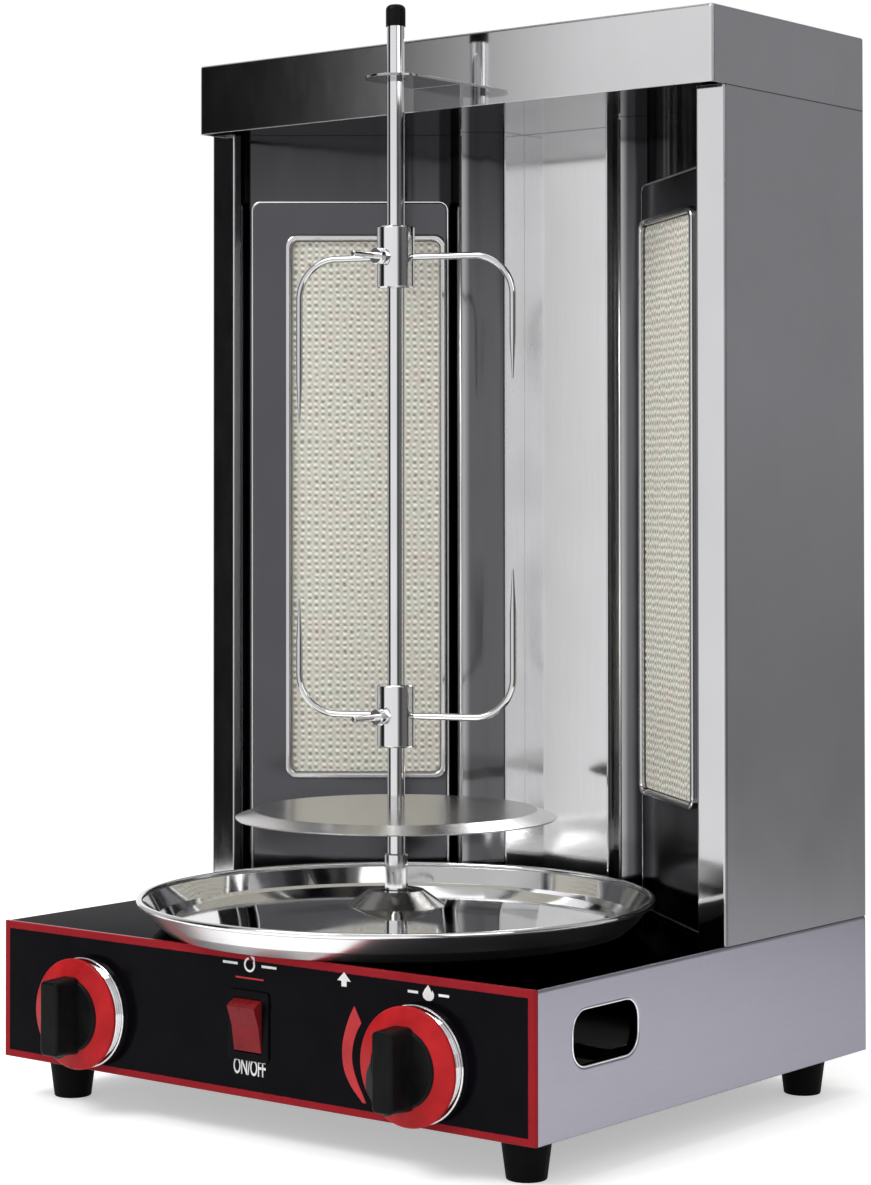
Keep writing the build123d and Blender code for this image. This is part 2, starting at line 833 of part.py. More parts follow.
def spindle(x):
    """Spindle that the knob is pressed on, with a blade that slides in the plug."""
    shoulder_y = valve_front_y - knob_travel - part_gap
    place = Plane(origin=(x, shoulder_y, knob_z), x_dir=(1, 0, 0), z_dir=(0, -1, 0))
    tip_y = front_y - knob_base - spindle_depth_in_knob
    with BuildPart() as stem:
        with BuildSketch(place):
            Circle(spindle_radius)
        extrude(amount=shoulder_y - tip_y)
        with BuildSketch(place):
            Rectangle(blade_width, blade_thickness)
        extrude(amount=-(blade_length + knob_travel))
    return stem


def gas_tube(x, injector_x):
    """Tube from a tap's outlet back and down to the injector."""
    route = [
        (x, outlet_y, knob_z),
        (x, outlet_y + gas_tube_straight, knob_z),
        (injector_x, outlet_y + gas_tube_straight + gas_tube_sweep, gas_tube_low_z),
        (injector_x, tube_y, gas_tube_low_z),
        (injector_x, tube_y, injector_bottom_z),
    ]
    with BuildPart() as tube:
        with BuildLine() as centre_line:
            FilletPolyline(*route, radius=gas_tube_bend)
        with BuildSketch(Plane(origin=route[0], z_dir=(0, 1, 0))):
            Circle(gas_tube_radius)
        sweep(path=centre_line.line)
    return tube


for side, x in knob_places.items():
    injector_x = tube_x if x > 0 else -tube_x
    pieces[f"{side}_gas_valve"] = gas_valve(x)
    pieces[f"{side}_valve_plug"] = valve_plug(x)
    pieces[f"{side}_spindle"] = spindle(x)
    pieces[f"{side}_gas_tube"] = gas_tube(x, injector_x)

with BuildPart() as gas_manifold:
    manifold_start_x = knob_places["left"] - 1.5 * valve_radius
    inlet_back_y = rear_y - sheet - 8.0
    route = [
        (manifold_start_x, manifold_y, manifold_z),
        (manifold_end_x, manifold_y, manifold_z),
        (manifold_end_x, inlet_back_y, manifold_z),
    ]
    with BuildLine() as manifold_line:
        FilletPolyline(*route, radius=manifold_bend)
    with BuildSketch(Plane(origin=route[0], z_dir=(1, 0, 0))):
        Circle(manifold_radius)
    sweep(path=manifold_line.line)
pieces["gas_manifold"] = gas_manifold

with BuildPart() as gas_inlet:
    inlet_plane = Plane(
        origin=(manifold_end_x, inlet_back_y, manifold_z), x_dir=(-1, 0, 0), z_dir=(0, 1, 0)
    )
    hex_face = rear_y - inlet_back_y
    with BuildSketch(inlet_plane):
        Circle(inlet_thread_radius)
    extrude(amount=rear_y + inlet_reach - inlet_back_y)
    with BuildSketch(inlet_plane.offset(hex_face)):
        RegularPolygon(inlet_hex_radius, 6)
    extrude(amount=inlet_reach - inlet_thread_length)
    with BuildSketch(inlet_plane.offset(hex_face + inlet_reach)):
        Circle(inlet_bore_radius)
    extrude(amount=-(inlet_reach + hex_face - 2.0), mode=Mode.SUBTRACT)
pieces["gas_inlet"] = gas_inlet


# Knobs
def knob_plane(x):
    """Plane on the panel at a knob, with Z out towards the cook."""
    return Plane(origin=(x, front_y, knob_z), x_dir=(1, 0, 0), z_dir=(0, -1, 0))


def revolved(x, profile):
    """Solid of revolution on a knob's axis, from radius and reach pairs."""
    place = Plane(origin=(x, front_y, knob_z), x_dir=(1, 0, 0), z_dir=(0, 0, 1))
    with BuildPart() as solid:
        with BuildSketch(place):
            with BuildLine():
                Polyline(*[(radius, -reach) for radius, reach in profile], close=True)
            make_face()
        revolve(axis=Axis((x, front_y, knob_z), (0, -1, 0)))
    return solid


def knob_bezel(x):
    """Bright stepped ring on the panel behind a knob."""
    return revolved(
        x,
        [
            (spindle_hole_radius, 0),
            (bezel_radius, 0),
            (bezel_radius, bezel_step - edge_break),
            (bezel_radius - edge_break, bezel_step),
            (bezel_step_radius, bezel_step),
            (bezel_step_radius, bezel_height - edge_break),
            (bezel_step_radius - edge_break, bezel_height),
            (spindle_hole_radius, bezel_height),
        ],
    )


def knob_skirt(x):
    """Wide ring round the knob, rising towards the grip."""
    return revolved(
        x,
        [
            (knob_body_radius, knob_base),
            (skirt_radius, knob_base),
            (skirt_radius, knob_base + skirt_edge - edge_break),
            (skirt_radius - edge_break, knob_base + skirt_edge),
            (knob_body_radius, knob_base + skirt_rise),
        ],
    )


def knob(x):
    """Round knob body with a bar grip across it."""
    place = knob_plane(x)
    grip_height = knob_reach - knob_base - knob_body_height
    with BuildPart() as body:
        with BuildSketch(place.offset(knob_base)):
            Circle(knob_body_radius)
        extrude(amount=knob_body_height)
        fillet(body.faces().sort_by(Axis.Y)[0].edges(), grip_round)
        with BuildSketch(place.offset(knob_base + skirt_rise + part_gap)):
            RectangleRounded(grip_width, grip_length, grip_width / 4)
        extrude(amount=grip_height + knob_body_height - skirt_rise - part_gap, taper=grip_taper)
        fillet(body.faces().sort_by(Axis.Y)[0].edges(), grip_round)
        with BuildSketch(place.offset(knob_base)):
            Circle(spindle_radius)
        extrude(amount=spindle_depth_in_knob, mode=Mode.SUBTRACT)
    return body


for side, x in knob_places.items():
    pieces[f"{side}_knob_bezel"] = knob_bezel(x)
    pieces[f"{side}_knob_skirt"] = knob_skirt(x)
    pieces[f"{side}_knob"] = knob(x)


# Rocker switch
window_half_height = rocker_end_radius + rocker_gap
window_half_width = rocker_width / 2 + rocker_gap

with BuildPart() as switch_housing:
    with BuildSketch(front_plane):
        with Locations((rocker_x, rocker_z)):
            RectangleRounded(
                2 * (window_half_width + housing_wall + housing_flange),
                2 * (window_half_height + housing_wall + housing_flange),
                housing_flange,
            )
    extrude(amount=housing_flange_height)
    fillet(switch_housing.faces().sort_by(Axis.Y)[0].edges(), housing_flange_height / 2)
    with BuildSketch(front_plane):
        with Locations((rocker_x, rocker_z)):
            Rectangle(
                2 * (window_half_width + housing_wall - screw_gap),
                2 * (window_half_height + housing_wall - screw_gap),
            )
    extrude(amount=-housing_depth)
    with BuildSketch(front_plane.offset(housing_flange_height)):
        with Locations((rocker_x, rocker_z)):
            Rectangle(2 * window_half_width, 2 * window_half_height)
    extrude(amount=-(housing_cavity_depth + housing_flange_height), mode=Mode.SUBTRACT)
    with Locations(Location((rocker_x, front_y + rocker_pivot_depth, rocker_z), (0, 90, 0))):
        Cylinder(
            rocker_pin_radius + running_gap,
            2 * (window_half_width + rocker_pin_length),
            mode=Mode.SUBTRACT,
        )
pieces["switch_housing"] = switch_housing

with BuildPart() as rocker:
    pivot_plane = Plane(
        origin=(rocker_x, front_y + rocker_pivot_depth, rocker_z), x_dir=(0, -1, 0), z_dir=(1, 0, 0)
    )
    top_z = (rocker_end_radius**2 - rocker_top_reach**2) ** 0.5
    low_z = (rocker_end_radius**2 - rocker_bottom_reach**2) ** 0.5
    back_z = (rocker_end_radius**2 - rocker_back**2) ** 0.5
    middle_reach = (rocker_top_reach + rocker_bottom_reach) / 2 - rocker_dip
    with BuildSketch(pivot_plane):
        with BuildLine():
            RadiusArc((rocker_top_reach, -top_z), (-rocker_back, -back_z), rocker_end_radius)
            Line((-rocker_back, -back_z), (-rocker_back, back_z))
            RadiusArc((-rocker_back, back_z), (rocker_bottom_reach, low_z), rocker_end_radius)
            Line((rocker_bottom_reach, low_z), (middle_reach, 0))
            Line((middle_reach, 0), (rocker_top_reach, -top_z))
        make_face()
    extrude(amount=rocker_width / 2, both=True)
    with Locations(Location((rocker_x, front_y + rocker_pivot_depth, rocker_z), (0, 90, 0))):
        Cylinder(rocker_pin_radius, 2 * (window_half_width + rocker_pin_length - part_gap))
pieces["rocker"] = rocker

with BuildPart() as cord_gland:
    gland_plane = Plane(origin=(gland_x, rear_y, gland_z), x_dir=(-1, 0, 0), z_dir=(0, 1, 0))
    with BuildSketch(gland_plane):
        Circle(gland_flange_radius)
    extrude(amount=gland_reach, taper=12)
    fillet(cord_gland.edges().group_by(Axis.Y)[-1], 1.0)
    with BuildSketch(gland_plane):
        Circle(gland_radius - screw_gap)
    extrude(amount=-gland_depth)
    with BuildSketch(gland_plane.offset(gland_reach)):
        Circle(gland_bore_radius)
    extrude(amount=-(gland_reach + gland_depth), mode=Mode.SUBTRACT)
pieces["cord_gland"] = cord_gland


# Motor, bracket and drive
deck_under_z = deck_z - sheet
bracket_low_z = deck_under_z - bracket_drop
gearbox_top_z = bracket_low_z

with BuildPart() as gear_motor:
    with Locations((0, spit_y, gearbox_top_z)):
        Cylinder(
            gearbox_radius, gearbox_height, align=(Align.CENTER, Align.CENTER, Align.MAX)
        )
        Cylinder(
            gearbox_boss_radius,
            gearbox_boss_height,
            align=(Align.CENTER, Align.CENTER, Align.MIN),
        )
    with Locations((0, spit_y, gearbox_top_z - gearbox_height)):
        Cylinder(motor_radius, motor_height, align=(Align.CENTER, Align.CENTER, Align.MAX))
    with BuildSketch(Plane.XY.offset(gearbox_top_z)):
        with Locations((0, spit_y)):
            SlotOverall(2 * (motor_ear_reach + motor_ear_width / 2), motor_ear_width)
            with GridLocations(2 * motor_ear_reach, 0, 2, 1):
                Circle(motor_screw_radius + screw_gap, mode=Mode.SUBTRACT)
    extrude(amount=-2 * bracket_sheet)
    with Locations((0, spit_y, gearbox_top_z + gearbox_boss_height)):
        Cylinder(
            shaft_radius + running_gap,
            gearbox_height,
            align=(Align.CENTER, Align.CENTER, Align.MAX),
            mode=Mode.SUBTRACT,
        )
pieces["gear_motor"] = gear_motor

with BuildPart() as motor_bracket:
    half_length = bracket_length / 2
    with BuildSketch(Plane(origin=(0, spit_y - bracket_width / 2, 0), x_dir=(1, 0, 0), z_dir=(0, -1, 0))):
        with BuildLine():
            Polyline(
                (-half_length - bracket_flange, deck_under_z),
                (-half_length, deck_under_z),
                (-half_length, bracket_low_z + bracket_sheet),
                (half_length, bracket_low_z + bracket_sheet),
                (half_length, deck_under_z),
                (half_length + bracket_flange, deck_under_z),
                (half_length + bracket_flange, deck_under_z - bracket_sheet),
                (half_length + bracket_sheet, deck_under_z - bracket_sheet),
                (half_length + bracket_sheet, bracket_low_z),
                (-half_length - bracket_sheet, bracket_low_z),
                (-half_length - bracket_sheet, deck_under_z - bracket_sheet),
                (-half_length - bracket_flange, deck_under_z - bracket_sheet),
                close=True,
            )
        make_face()
    extrude(amount=-bracket_width)
    with BuildSketch(Plane.XY.offset(bracket_low_z)):
        with Locations((0, spit_y)):
            Circle(gearbox_boss_radius + screw_gap)
            with GridLocations(2 * motor_ear_reach, 0, 2, 1):
                Circle(motor_screw_radius + screw_gap)
    extrude(amount=bracket_sheet, mode=Mode.SUBTRACT)
pieces["motor_bracket"] = motor_bracket

with BuildPart() as motor_screws:
    with Locations((0, spit_y, bracket_low_z + bracket_sheet)):
        with GridLocations(2 * motor_ear_reach, 0, 2, 1):
            Cylinder(
                2 * motor_screw_radius,
                motor_screw_radius,
                align=(Align.CENTER, Align.CENTER, Align.MIN),
            )
            Cylinder(
                motor_screw_radius,
                5 * bracket_sheet,
                align=(Align.CENTER, Align.CENTER, Align.MAX),
            )
pieces["motor_screws"] = motor_screws

with BuildPart() as output_shaft:
    shaft_bottom_z = gearbox_top_z + gearbox_boss_height - gearbox_height + shaft_gap_below
    with Locations((0, spit_y, shaft_bottom_z)):
        Cylinder(
            shaft_radius,
            socket_bottom_z + socket_shaft_depth - shaft_bottom_z,
            align=(Align.CENTER, Align.CENTER, Align.MIN),
        )
pieces["output_shaft"] = output_shaft

with BuildPart() as drive_socket:
    with Locations((0, spit_y, socket_bottom_z)):
        Cylinder(
            socket_radius,
            socket_top_z - socket_bottom_z,
            align=(Align.CENTER, Align.CENTER, Align.MIN),
        )
        Cylinder(
            shaft_radius,
            socket_shaft_depth,
            align=(Align.CENTER, Align.CENTER, Align.MIN),
            mode=Mode.SUBTRACT,
        )
    chamfer(drive_socket.edges().group_by(Axis.Z)[-1], 0.8)
    with BuildSketch(Plane.XY.offset(tang_z + tang_height)):
        with Locations((0, spit_y)):
            Circle(rod_radius + rod_gap)
    extrude(amount=socket_top_z - tang_z - tang_height, mode=Mode.SUBTRACT)
    with BuildSketch(Plane.XY.offset(tang_z - part_gap)):
        with Locations((0, spit_y)):
            Circle(rod_radius + rod_gap)
            Rectangle(2 * socket_radius, tang_width + 2 * tang_gap, mode=Mode.INTERSECT)
    extrude(amount=tang_height + part_gap, mode=Mode.SUBTRACT)
pieces["drive_socket"] = drive_socket

with BuildPart() as deck_bushing:
    with Locations((0, spit_y, deck_z)):
        Cylinder(
            bushing_flange_radius,
            bushing_flange_height,
            align=(Align.CENTER, Align.CENTER, Align.MIN),
        )
        Cylinder(bushing_radius, bushing_depth, align=(Align.CENTER, Align.CENTER, Align.MAX))
    chamfer(deck_bushing.edges().group_by(Axis.Z)[-1], 0.5)
    with Locations((0, spit_y, deck_z)):
        Hole(socket_radius + running_gap)
pieces["deck_bushing"] = deck_bushing


# Spit
with BuildPart() as spit_rod:
    with BuildSketch(Plane.XY.offset(tang_z + tang_height)):
        with Locations((0, spit_y)):
            Circle(rod_radius)
    extrude(amount=rod_top_z - tang_z - tang_height)
    chamfer(spit_rod.edges().group_by(Axis.Z)[-1], 1.0)
    with BuildSketch(Plane.XY.offset(tang_z)):
        with Locations((0, spit_y)):
            Circle(rod_radius)
            Rectangle(2 * rod_radius, tang_width, mode=Mode.INTERSECT)
    extrude(amount=tang_height)
pieces["spit_rod"] = spit_rod

with BuildPart() as spit_cap:
    with Locations((0, spit_y, cap_bottom_z)):
        Cylinder(cap_radius, cap_top_z - cap_bottom_z, align=(Align.CENTER, Align.CENTER, Align.MIN))
    fillet(spit_cap.edges().group_by(Axis.Z)[-1], cap_radius * 0.55)
    with Locations((0, spit_y, cap_bottom_z)):
        Cylinder(
            rod_radius,
            rod_top_z - cap_bottom_z,
            align=(Align.CENTER, Align.CENTER, Align.MIN),
            mode=Mode.SUBTRACT,
        )
pieces["spit_cap"] = spit_cap

with BuildPart() as meat_disc:
    with BuildSketch(spit_plane):
        with BuildLine():
            Polyline(
                (rod_radius, disc_top_z - disc_hub_height),
                (disc_hub_radius, disc_top_z - disc_hub_height),
                (disc_hub_radius, disc_top_z - disc_sheet),
                (disc_flat_radius, disc_top_z - disc_sheet),
                (disc_radius - disc_sheet / 2, disc_rim_z),
                (disc_radius, disc_rim_z + disc_sheet / 2),
                (disc_flat_radius, disc_top_z),
                (rod_radius, disc_top_z),
                close=True,
            )
        make_face()
    revolve(axis=Axis((0, spit_y, 0), (0, 0, 1)))
pieces["meat_disc"] = meat_disc


def fork_collar(height):
    """Sleeve that slides on the rod, with the threaded boss for its screw."""
    with BuildPart() as collar:
        with Locations((0, spit_y, height)):
            Cylinder(collar_radius, collar_height)
        chamfer(collar.edges().group_by(Axis.Z)[0], 0.8)
        chamfer(collar.edges().group_by(Axis.Z)[-1], 0.8)
        with BuildSketch(spit_plane):
            with Locations((0, height)):
                RegularPolygon(boss_radius, 6)
        extrude(amount=boss_reach)
        with BuildSketch(spit_plane):
            with Locations((0, height)):
                Circle(thumb_shank_radius + running_gap)
        extrude(amount=boss_reach, mode=Mode.SUBTRACT)
        with Locations((0, spit_y, height)):
            Hole(rod_radius + rod_gap)
    return collar


def fork_wire(turn, reach, height, length):
    """One bent and pointed wire, from the collar's side to its tip."""
    out = (cos(radians(turn)), sin(radians(turn)))
    way = 1 if length > 0 else -1
    tip_z = height + length
    taper_z = tip_z - way * wire_tip_length
    route = [
        (collar_radius * out[0], spit_y + collar_radius * out[1], height),
        (reach * out[0], spit_y + reach * out[1], height),
        (reach * out[0], spit_y + reach * out[1], taper_z),
    ]
    with BuildPart() as wire:
        with BuildLine() as centre_line:
            FilletPolyline(*route, radius=wire_bend)
        with BuildSketch(Plane(origin=route[0], z_dir=(out[0], out[1], 0))):
            Circle(wire_radius)
        sweep(path=centre_line.line)
        with BuildSketch(Plane(origin=route[2], z_dir=(0, 0, way))):
            Circle(wire_radius)
        with BuildSketch(Plane(origin=(route[2][0], route[2][1], tip_z), z_dir=(0, 0, way))):
            Circle(wire_tip_radius)
        loft()
    return wire.part


def fork(height, near_length, far_length):
    """Pair of prongs welded to one collar."""
    with BuildPart() as prongs:
        add(fork_wire(fork_turn, near_reach, height, near_length))
        add(fork_wire(fork_turn + 180, far_reach, height, far_length))
    return prongs


def thumb_screw(height):
    """Screw that clamps the collar to the rod."""
    with BuildPart() as screw:
        with BuildSketch(spit_plane.offset(rod_radius + rod_gap + part_gap)):
            with Locations((0, height)):
                Circle(thumb_shank_radius)
        extrude(amount=boss_reach - rod_radius - rod_gap)
        with BuildSketch(spit_plane.offset(boss_reach + part_gap)):
            with Locations((0, height)):
                Circle(thumb_head_radius)
        extrude(amount=thumb_head_thickness)
        chamfer(screw.edges().group_by(Axis.Y)[0], 0.5)
        with BuildSketch(spit_plane.offset(boss_reach + part_gap + thumb_head_thickness)):
            with Locations((0, height)):
                Circle(thumb_stem_radius)
        extrude(amount=thumb_stem_reach - boss_reach - part_gap - thumb_head_thickness)
        chamfer(screw.edges().group_by(Axis.Y)[0], 0.4)
    return screw


collar_heights = {"upper": upper_collar_z, "lower": lower_collar_z}
prong_lengths = {
    "upper": (-upper_near_length, -upper_far_length),
    "lower": (lower_near_length, lower_far_length),
}
for name, height in collar_heights.items():
    pieces[f"{name}_collar"] = fork_collar(height)
    pieces[f"{name}_fork"] = fork(height, *prong_lengths[name])
    pieces[f"{name}_thumb_screw"] = thumb_screw(height)

with BuildPart() as spit_bracket:
    leg_y = hood_y - bracket_plate
    with BuildSketch(Plane.XY.offset(bracket_top_z - bracket_plate)):
        with Locations((0, (spit_y + hood_y) / 2)):
            Rectangle(2 * bracket_half_width, hood_y - spit_y)
        with Locations((0, spit_y)):
            Circle(bracket_half_width)
            Circle(rod_radius + bracket_hole_gap, mode=Mode.SUBTRACT)
    extrude(amount=bracket_plate)
    with BuildSketch(Plane.XY.offset(hood_z)):
        with Locations((0, (leg_y + hood_y) / 2)):
            Rectangle(2 * bracket_half_width, bracket_plate)
    extrude(amount=bracket_top_z - hood_z)
pieces["spit_bracket"] = spit_bracket

with BuildPart() as drip_pan:
    with BuildSketch(spit_plane):
        with BuildLine():
            Polyline(
                (pan_hole_radius, pan_boss_top_z - pan_sheet),
                (pan_hole_radius, pan_boss_top_z),
                (pan_boss_top_radius, pan_boss_top_z),
                (pan_boss_radius, pan_boss_z),
                (pan_floor_radius, pan_floor_z),
                (pan_gutter_inner_radius, deck_z + part_gap + pan_sheet),
                (pan_gutter_radius, deck_z + part_gap + pan_sheet),
                (pan_wall_radius, pan_wall_z),
                (pan_rim_radius, pan_rim_z),
                (pan_rim_radius + pan_sheet, pan_rim_z),
                (pan_wall_radius + pan_sheet, pan_wall_z),
                (pan_gutter_radius + pan_sheet / 2, deck_z + part_gap),
                (pan_gutter_inner_radius - pan_sheet / 2, deck_z + part_gap),
                (pan_floor_radius - pan_sheet, pan_floor_z - pan_sheet),
                (pan_boss_radius, pan_boss_z - pan_sheet),
                (pan_boss_top_radius - pan_sheet / 2, pan_boss_top_z - pan_sheet),
                close=True,
            )
        make_face()
        with Locations((pan_rim_radius + pan_sheet / 2, pan_rim_z)):
            Circle(pan_bead_radius)
    revolve(axis=Axis((0, spit_y, 0), (0, 0, 1)))
pieces["drip_pan"] = drip_pan

for label, piece in pieces.items():
    piece.part.label = label
    export_step(piece.part, f"parts/{label}.step")
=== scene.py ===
import math
import random

import bmesh
import bpy
from mathutils import Matrix, Vector


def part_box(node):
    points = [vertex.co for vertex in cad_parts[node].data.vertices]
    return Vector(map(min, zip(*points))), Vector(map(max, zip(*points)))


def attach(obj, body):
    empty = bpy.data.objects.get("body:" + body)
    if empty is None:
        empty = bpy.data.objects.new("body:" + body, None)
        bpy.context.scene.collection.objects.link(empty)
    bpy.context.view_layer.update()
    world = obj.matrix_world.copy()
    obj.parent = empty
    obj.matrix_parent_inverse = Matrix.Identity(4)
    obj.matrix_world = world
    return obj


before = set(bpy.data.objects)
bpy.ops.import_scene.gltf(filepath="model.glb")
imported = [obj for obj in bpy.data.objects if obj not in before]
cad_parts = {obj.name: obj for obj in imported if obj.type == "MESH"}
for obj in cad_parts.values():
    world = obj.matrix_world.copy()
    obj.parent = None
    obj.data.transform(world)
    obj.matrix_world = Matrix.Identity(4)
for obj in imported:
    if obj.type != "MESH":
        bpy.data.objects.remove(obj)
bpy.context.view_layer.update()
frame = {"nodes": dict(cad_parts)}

nodes = frame["nodes"]
scene = bpy.context.scene
MM = 0.001
signs = {"left": -1.0, "right": 1.0}


def in_mm(box):
    """Both corners of a box, in millimetres."""
    return [[value / MM for value in corner] for corner in box]


def tinted(colour, share, lift=0.0):
    """The colour times a share, held under 1."""
    return tuple(min(1.0, part * share + lift) for part in colour)


def show(name, data):
    """A new object in the scene that holds the data."""
    obj = bpy.data.objects.new(name, data)
    scene.collection.objects.link(obj)
    return obj


# Node building helpers

class Tree:
    """A node tree with short helpers, for the world and for materials."""

    def __init__(self, owner):
        owner.use_nodes = True
        self.nodes = owner.node_tree.nodes
        self.links = owner.node_tree.links

    def node(self, kind, **props):
        made = self.nodes.new(kind)
        for key, value in props.items():
            setattr(made, key, value)
        return made

    def feed(self, value, socket):
        """Write a number or a colour on a socket, or link an output to it."""
        if isinstance(value, (int, float)):
            socket.default_value = value
        elif isinstance(value, tuple):
            socket.default_value = (*value, 1)
        else:
            self.links.new(value, socket)

    def calc(self, operation, *values):
        made = self.node("ShaderNodeMath", operation=operation)
        for value, socket in zip(values, made.inputs):
            self.feed(value, socket)
        return made.outputs[0]

    def smallest(self, *values):
        least = values[0]
        for value in values[1:]:
            least = self.calc("MINIMUM", least, value)
        return least

    def hypot(self, first, second):
        """Distance that two sides of a right angle span."""
        squares = [self.calc("MULTIPLY", value, value) for value in (first, second)]
        return self.calc("SQRT", self.calc("ADD", *squares))

    def split(self, vector):
        """The x, y and z of a vector."""
        made = self.node("ShaderNodeSeparateXYZ")
        self.feed(vector, made.inputs[0])
        return made.outputs

    def remap(self, value, low, high, out_low, out_high, smooth=False):
        """Stretch low..high to out_low..out_high, held at both ends."""
        made = self.node("ShaderNodeMapRange")
        if smooth:
            made.interpolation_type = "SMOOTHSTEP"
        numbers = (value, low, high, out_low, out_high)
        for key, number in zip(("Value", "From Min", "From Max", "To Min", "To Max"), numbers):
            self.feed(number, made.inputs[key])
        return made.outputs["Result"]

    def even(self, noise, low=0.0, high=1.0):
        """Noise keeps mostly between 0.3 and 0.7, so that range is stretched to low..high."""
        return self.remap(noise, 0.3, 0.7, low, high)

    def mix(self, share, first, second):
        """Colour that goes from the first to the second as share grows."""
        made = self.node("ShaderNodeMix", data_type="RGBA")
        for value, index in ((share, 0), (first, 6), (second, 7)):
            self.feed(value, made.inputs[index])
        return made.outputs[2]

    def blend(self, share, first, second):
        """Number that goes from the first to the second as share grows."""
        made = self.node("ShaderNodeMix", data_type="FLOAT")
        for value, index in ((share, 0), (first, 2), (second, 3)):
            self.feed(value, made.inputs[index])
        return made.outputs[0]


class Mat(Tree):
    """A material round a Principled shader, with patterns sized in millimetres."""

    def __init__(self, name, base, metallic=0.0, rough=0.5):
        self.material = bpy.data.materials.new(name)
        super().__init__(self.material)
        self.shader = self.nodes["Principled BSDF"]
        self.coord = self.node("ShaderNodeTexCoord")
        self.relief = None
        self.set("Base Color", base)
        self.set("Metallic", metallic)
        self.set("Roughness", rough)

    def set(self, socket, value):
        self.feed(value, self.shader.inputs[socket])

    def fed(self, socket):
        """The output that a socket of the shader is linked to."""
        return self.shader.inputs[socket].links[0].from_socket

    def place(self, scale=(1, 1, 1)):
        """Object coordinates in millimetres, scaled."""
        mapping = self.node("ShaderNodeMapping")
        mapping.inputs["Scale"].default_value = [share / MM for share in scale]
        self.feed(self.coord.outputs["Object"], mapping.inputs["Vector"])
        return mapping.outputs["Vector"]

    def xyz(self):
        return self.split(self.place())

    def facing(self):
        """The x, y and z of the surface's normal."""
        return self.split(self.node("ShaderNodeNewGeometry").outputs["Normal"])

    def noise(self, size, detail=3.0, rough=0.5, scale=(1, 1, 1), seed=0.0):
        """Noise whose blotches are about size millimetres wide."""
        made = self.node("ShaderNodeTexNoise", noise_dimensions="4D")
        for key, number in (("Scale", 1.0 / size), ("Detail", detail), ("Roughness", rough), ("W", seed)):
            made.inputs[key].default_value = number
        self.feed(self.place(scale), made.inputs["Vector"])
        return made.outputs["Fac"]

    def bump(self, height, depth):
        """Relief of a depth in millimetres, on top of the reliefs before it."""
        made = self.node("ShaderNodeBump")
        made.inputs["Distance"].default_value = depth * MM
        made.inputs["Strength"].default_value = 1.0
        self.feed(height, made.inputs["Height"])
        if self.relief is not None:
            self.feed(self.relief, made.inputs["Normal"])
        self.relief = made.outputs["Normal"]
        self.set("Normal", self.relief)


def steel(name, base, rough, grain=(1, 1, 1), grain_depth=0.004, spread=0.08, wave=0.0, mark=0.10, edge=0.5,
          front=None, painted_foot_shade=None, streak=0.0, seam=None):
    """Stainless sheet with drawn grain, cloudy wiping marks and fine scratches.

    Where front gives (colour, roughness), the faces toward the front are polished so.
    Where the foot setting gives (low, high, share), painted shade darkens the sheet's colour to that share
    down at low.
    Above seam, in millimetres, lies the dark line where the next sheet meets this one, painted shade of the
    gap between them.
    A wave bends the reflections softly, and a streak bends them in upright bands.
    """
    mat = Mat(name, base, metallic=1.0, rough=rough)
    if edge:
        round_edge = mat.node("ShaderNodeBevel", samples=4)
        round_edge.inputs["Radius"].default_value = edge * MM
        mat.relief = round_edge.outputs[0]
    line = mat.noise(0.9, 4.0, 0.6, scale=grain, seed=1.3)
    cloud = mat.noise(55.0, 3.0, 0.5, seed=4.1)
    smear = mat.noise(9.0, 4.0, 0.65, scale=(1, 1, 0.35), seed=9.7)
    tone = mat.even(cloud)
    shade = mat.mix(tone, tinted(base, 0.95), tinted(base, 1.04))
    colour = mat.mix(mat.remap(line, 0.35, 0.65, 0.0, mark), shade, tinted(base, 0.7))
    # Painted shade: the colour darkens toward the bottom of the sheet.
    if painted_foot_shade:
        low, high, share = painted_foot_shade
        foot_shade_share = mat.remap(mat.xyz()[2], low, high, 1.0 - share, 0.0)
        colour = mat.mix(foot_shade_share, colour, (0.0, 0.0, 0.0))
    # Painted shade: a dark line in the gap at the seam.
    if seam:
        seam_shade = mat.remap(mat.xyz()[2], seam - 0.9, seam - 0.3, 0.0, 0.85)
        colour = mat.mix(seam_shade, colour, (0.02, 0.02, 0.022))
    wide = mat.even(cloud, rough - spread / 2, rough + spread / 2)
    fine = mat.remap(smear, 0.0, 1.0, -spread / 8, spread / 8)
    skin = mat.calc("ADD", wide, fine)
    if front:
        polish, shine = front
        ahead = mat.remap(mat.calc("MULTIPLY", mat.facing()[1], -1.0), 0.86, 0.96, 0.0, 1.0)
        bright = mat.mix(tone, tinted(polish, 0.97), tinted(polish, 1.02))
        colour = mat.mix(ahead, colour, bright)
        skin = mat.blend(ahead, skin, mat.remap(smear, 0.3, 0.75, shine - 0.01, shine + 0.03))
        line = mat.calc("MULTIPLY", line, mat.remap(ahead, 0.0, 1.0, 1.0, 0.12))
    mat.set("Base Color", colour)
    mat.set("Roughness", skin)
    mat.bump(line, grain_depth)
    if wave:
        mat.bump(mat.noise(70.0, 1.0, 0.4, seed=2.2), wave)
    if streak:
        mat.bump(mat.noise(15.0, 1.0, 0.4, scale=(1, 1, 0.03), seed=7.4), streak)
    return mat


def plastic(name, base, rough, speck=0.35, depth=0.02, shine=0.25):
    """Moulded plastic with a fine skin, faint mottling and rubbed patches."""
    mat = Mat(name, base, rough=rough)
    mat.set("Specular IOR Level", shine)
    skin = mat.noise(speck, 3.0, 0.6, seed=3.3)
    patch = mat.noise(14.0, 3.0, 0.55, seed=6.6)
    mat.set("Base Color", mat.mix(mat.even(patch), tinted(base, 0.84), tinted(base, 1.18, 0.004)))
    mat.set("Roughness", mat.even(patch, rough - 0.05, rough + 0.09))
    mat.bump(skin, depth)
    return mat
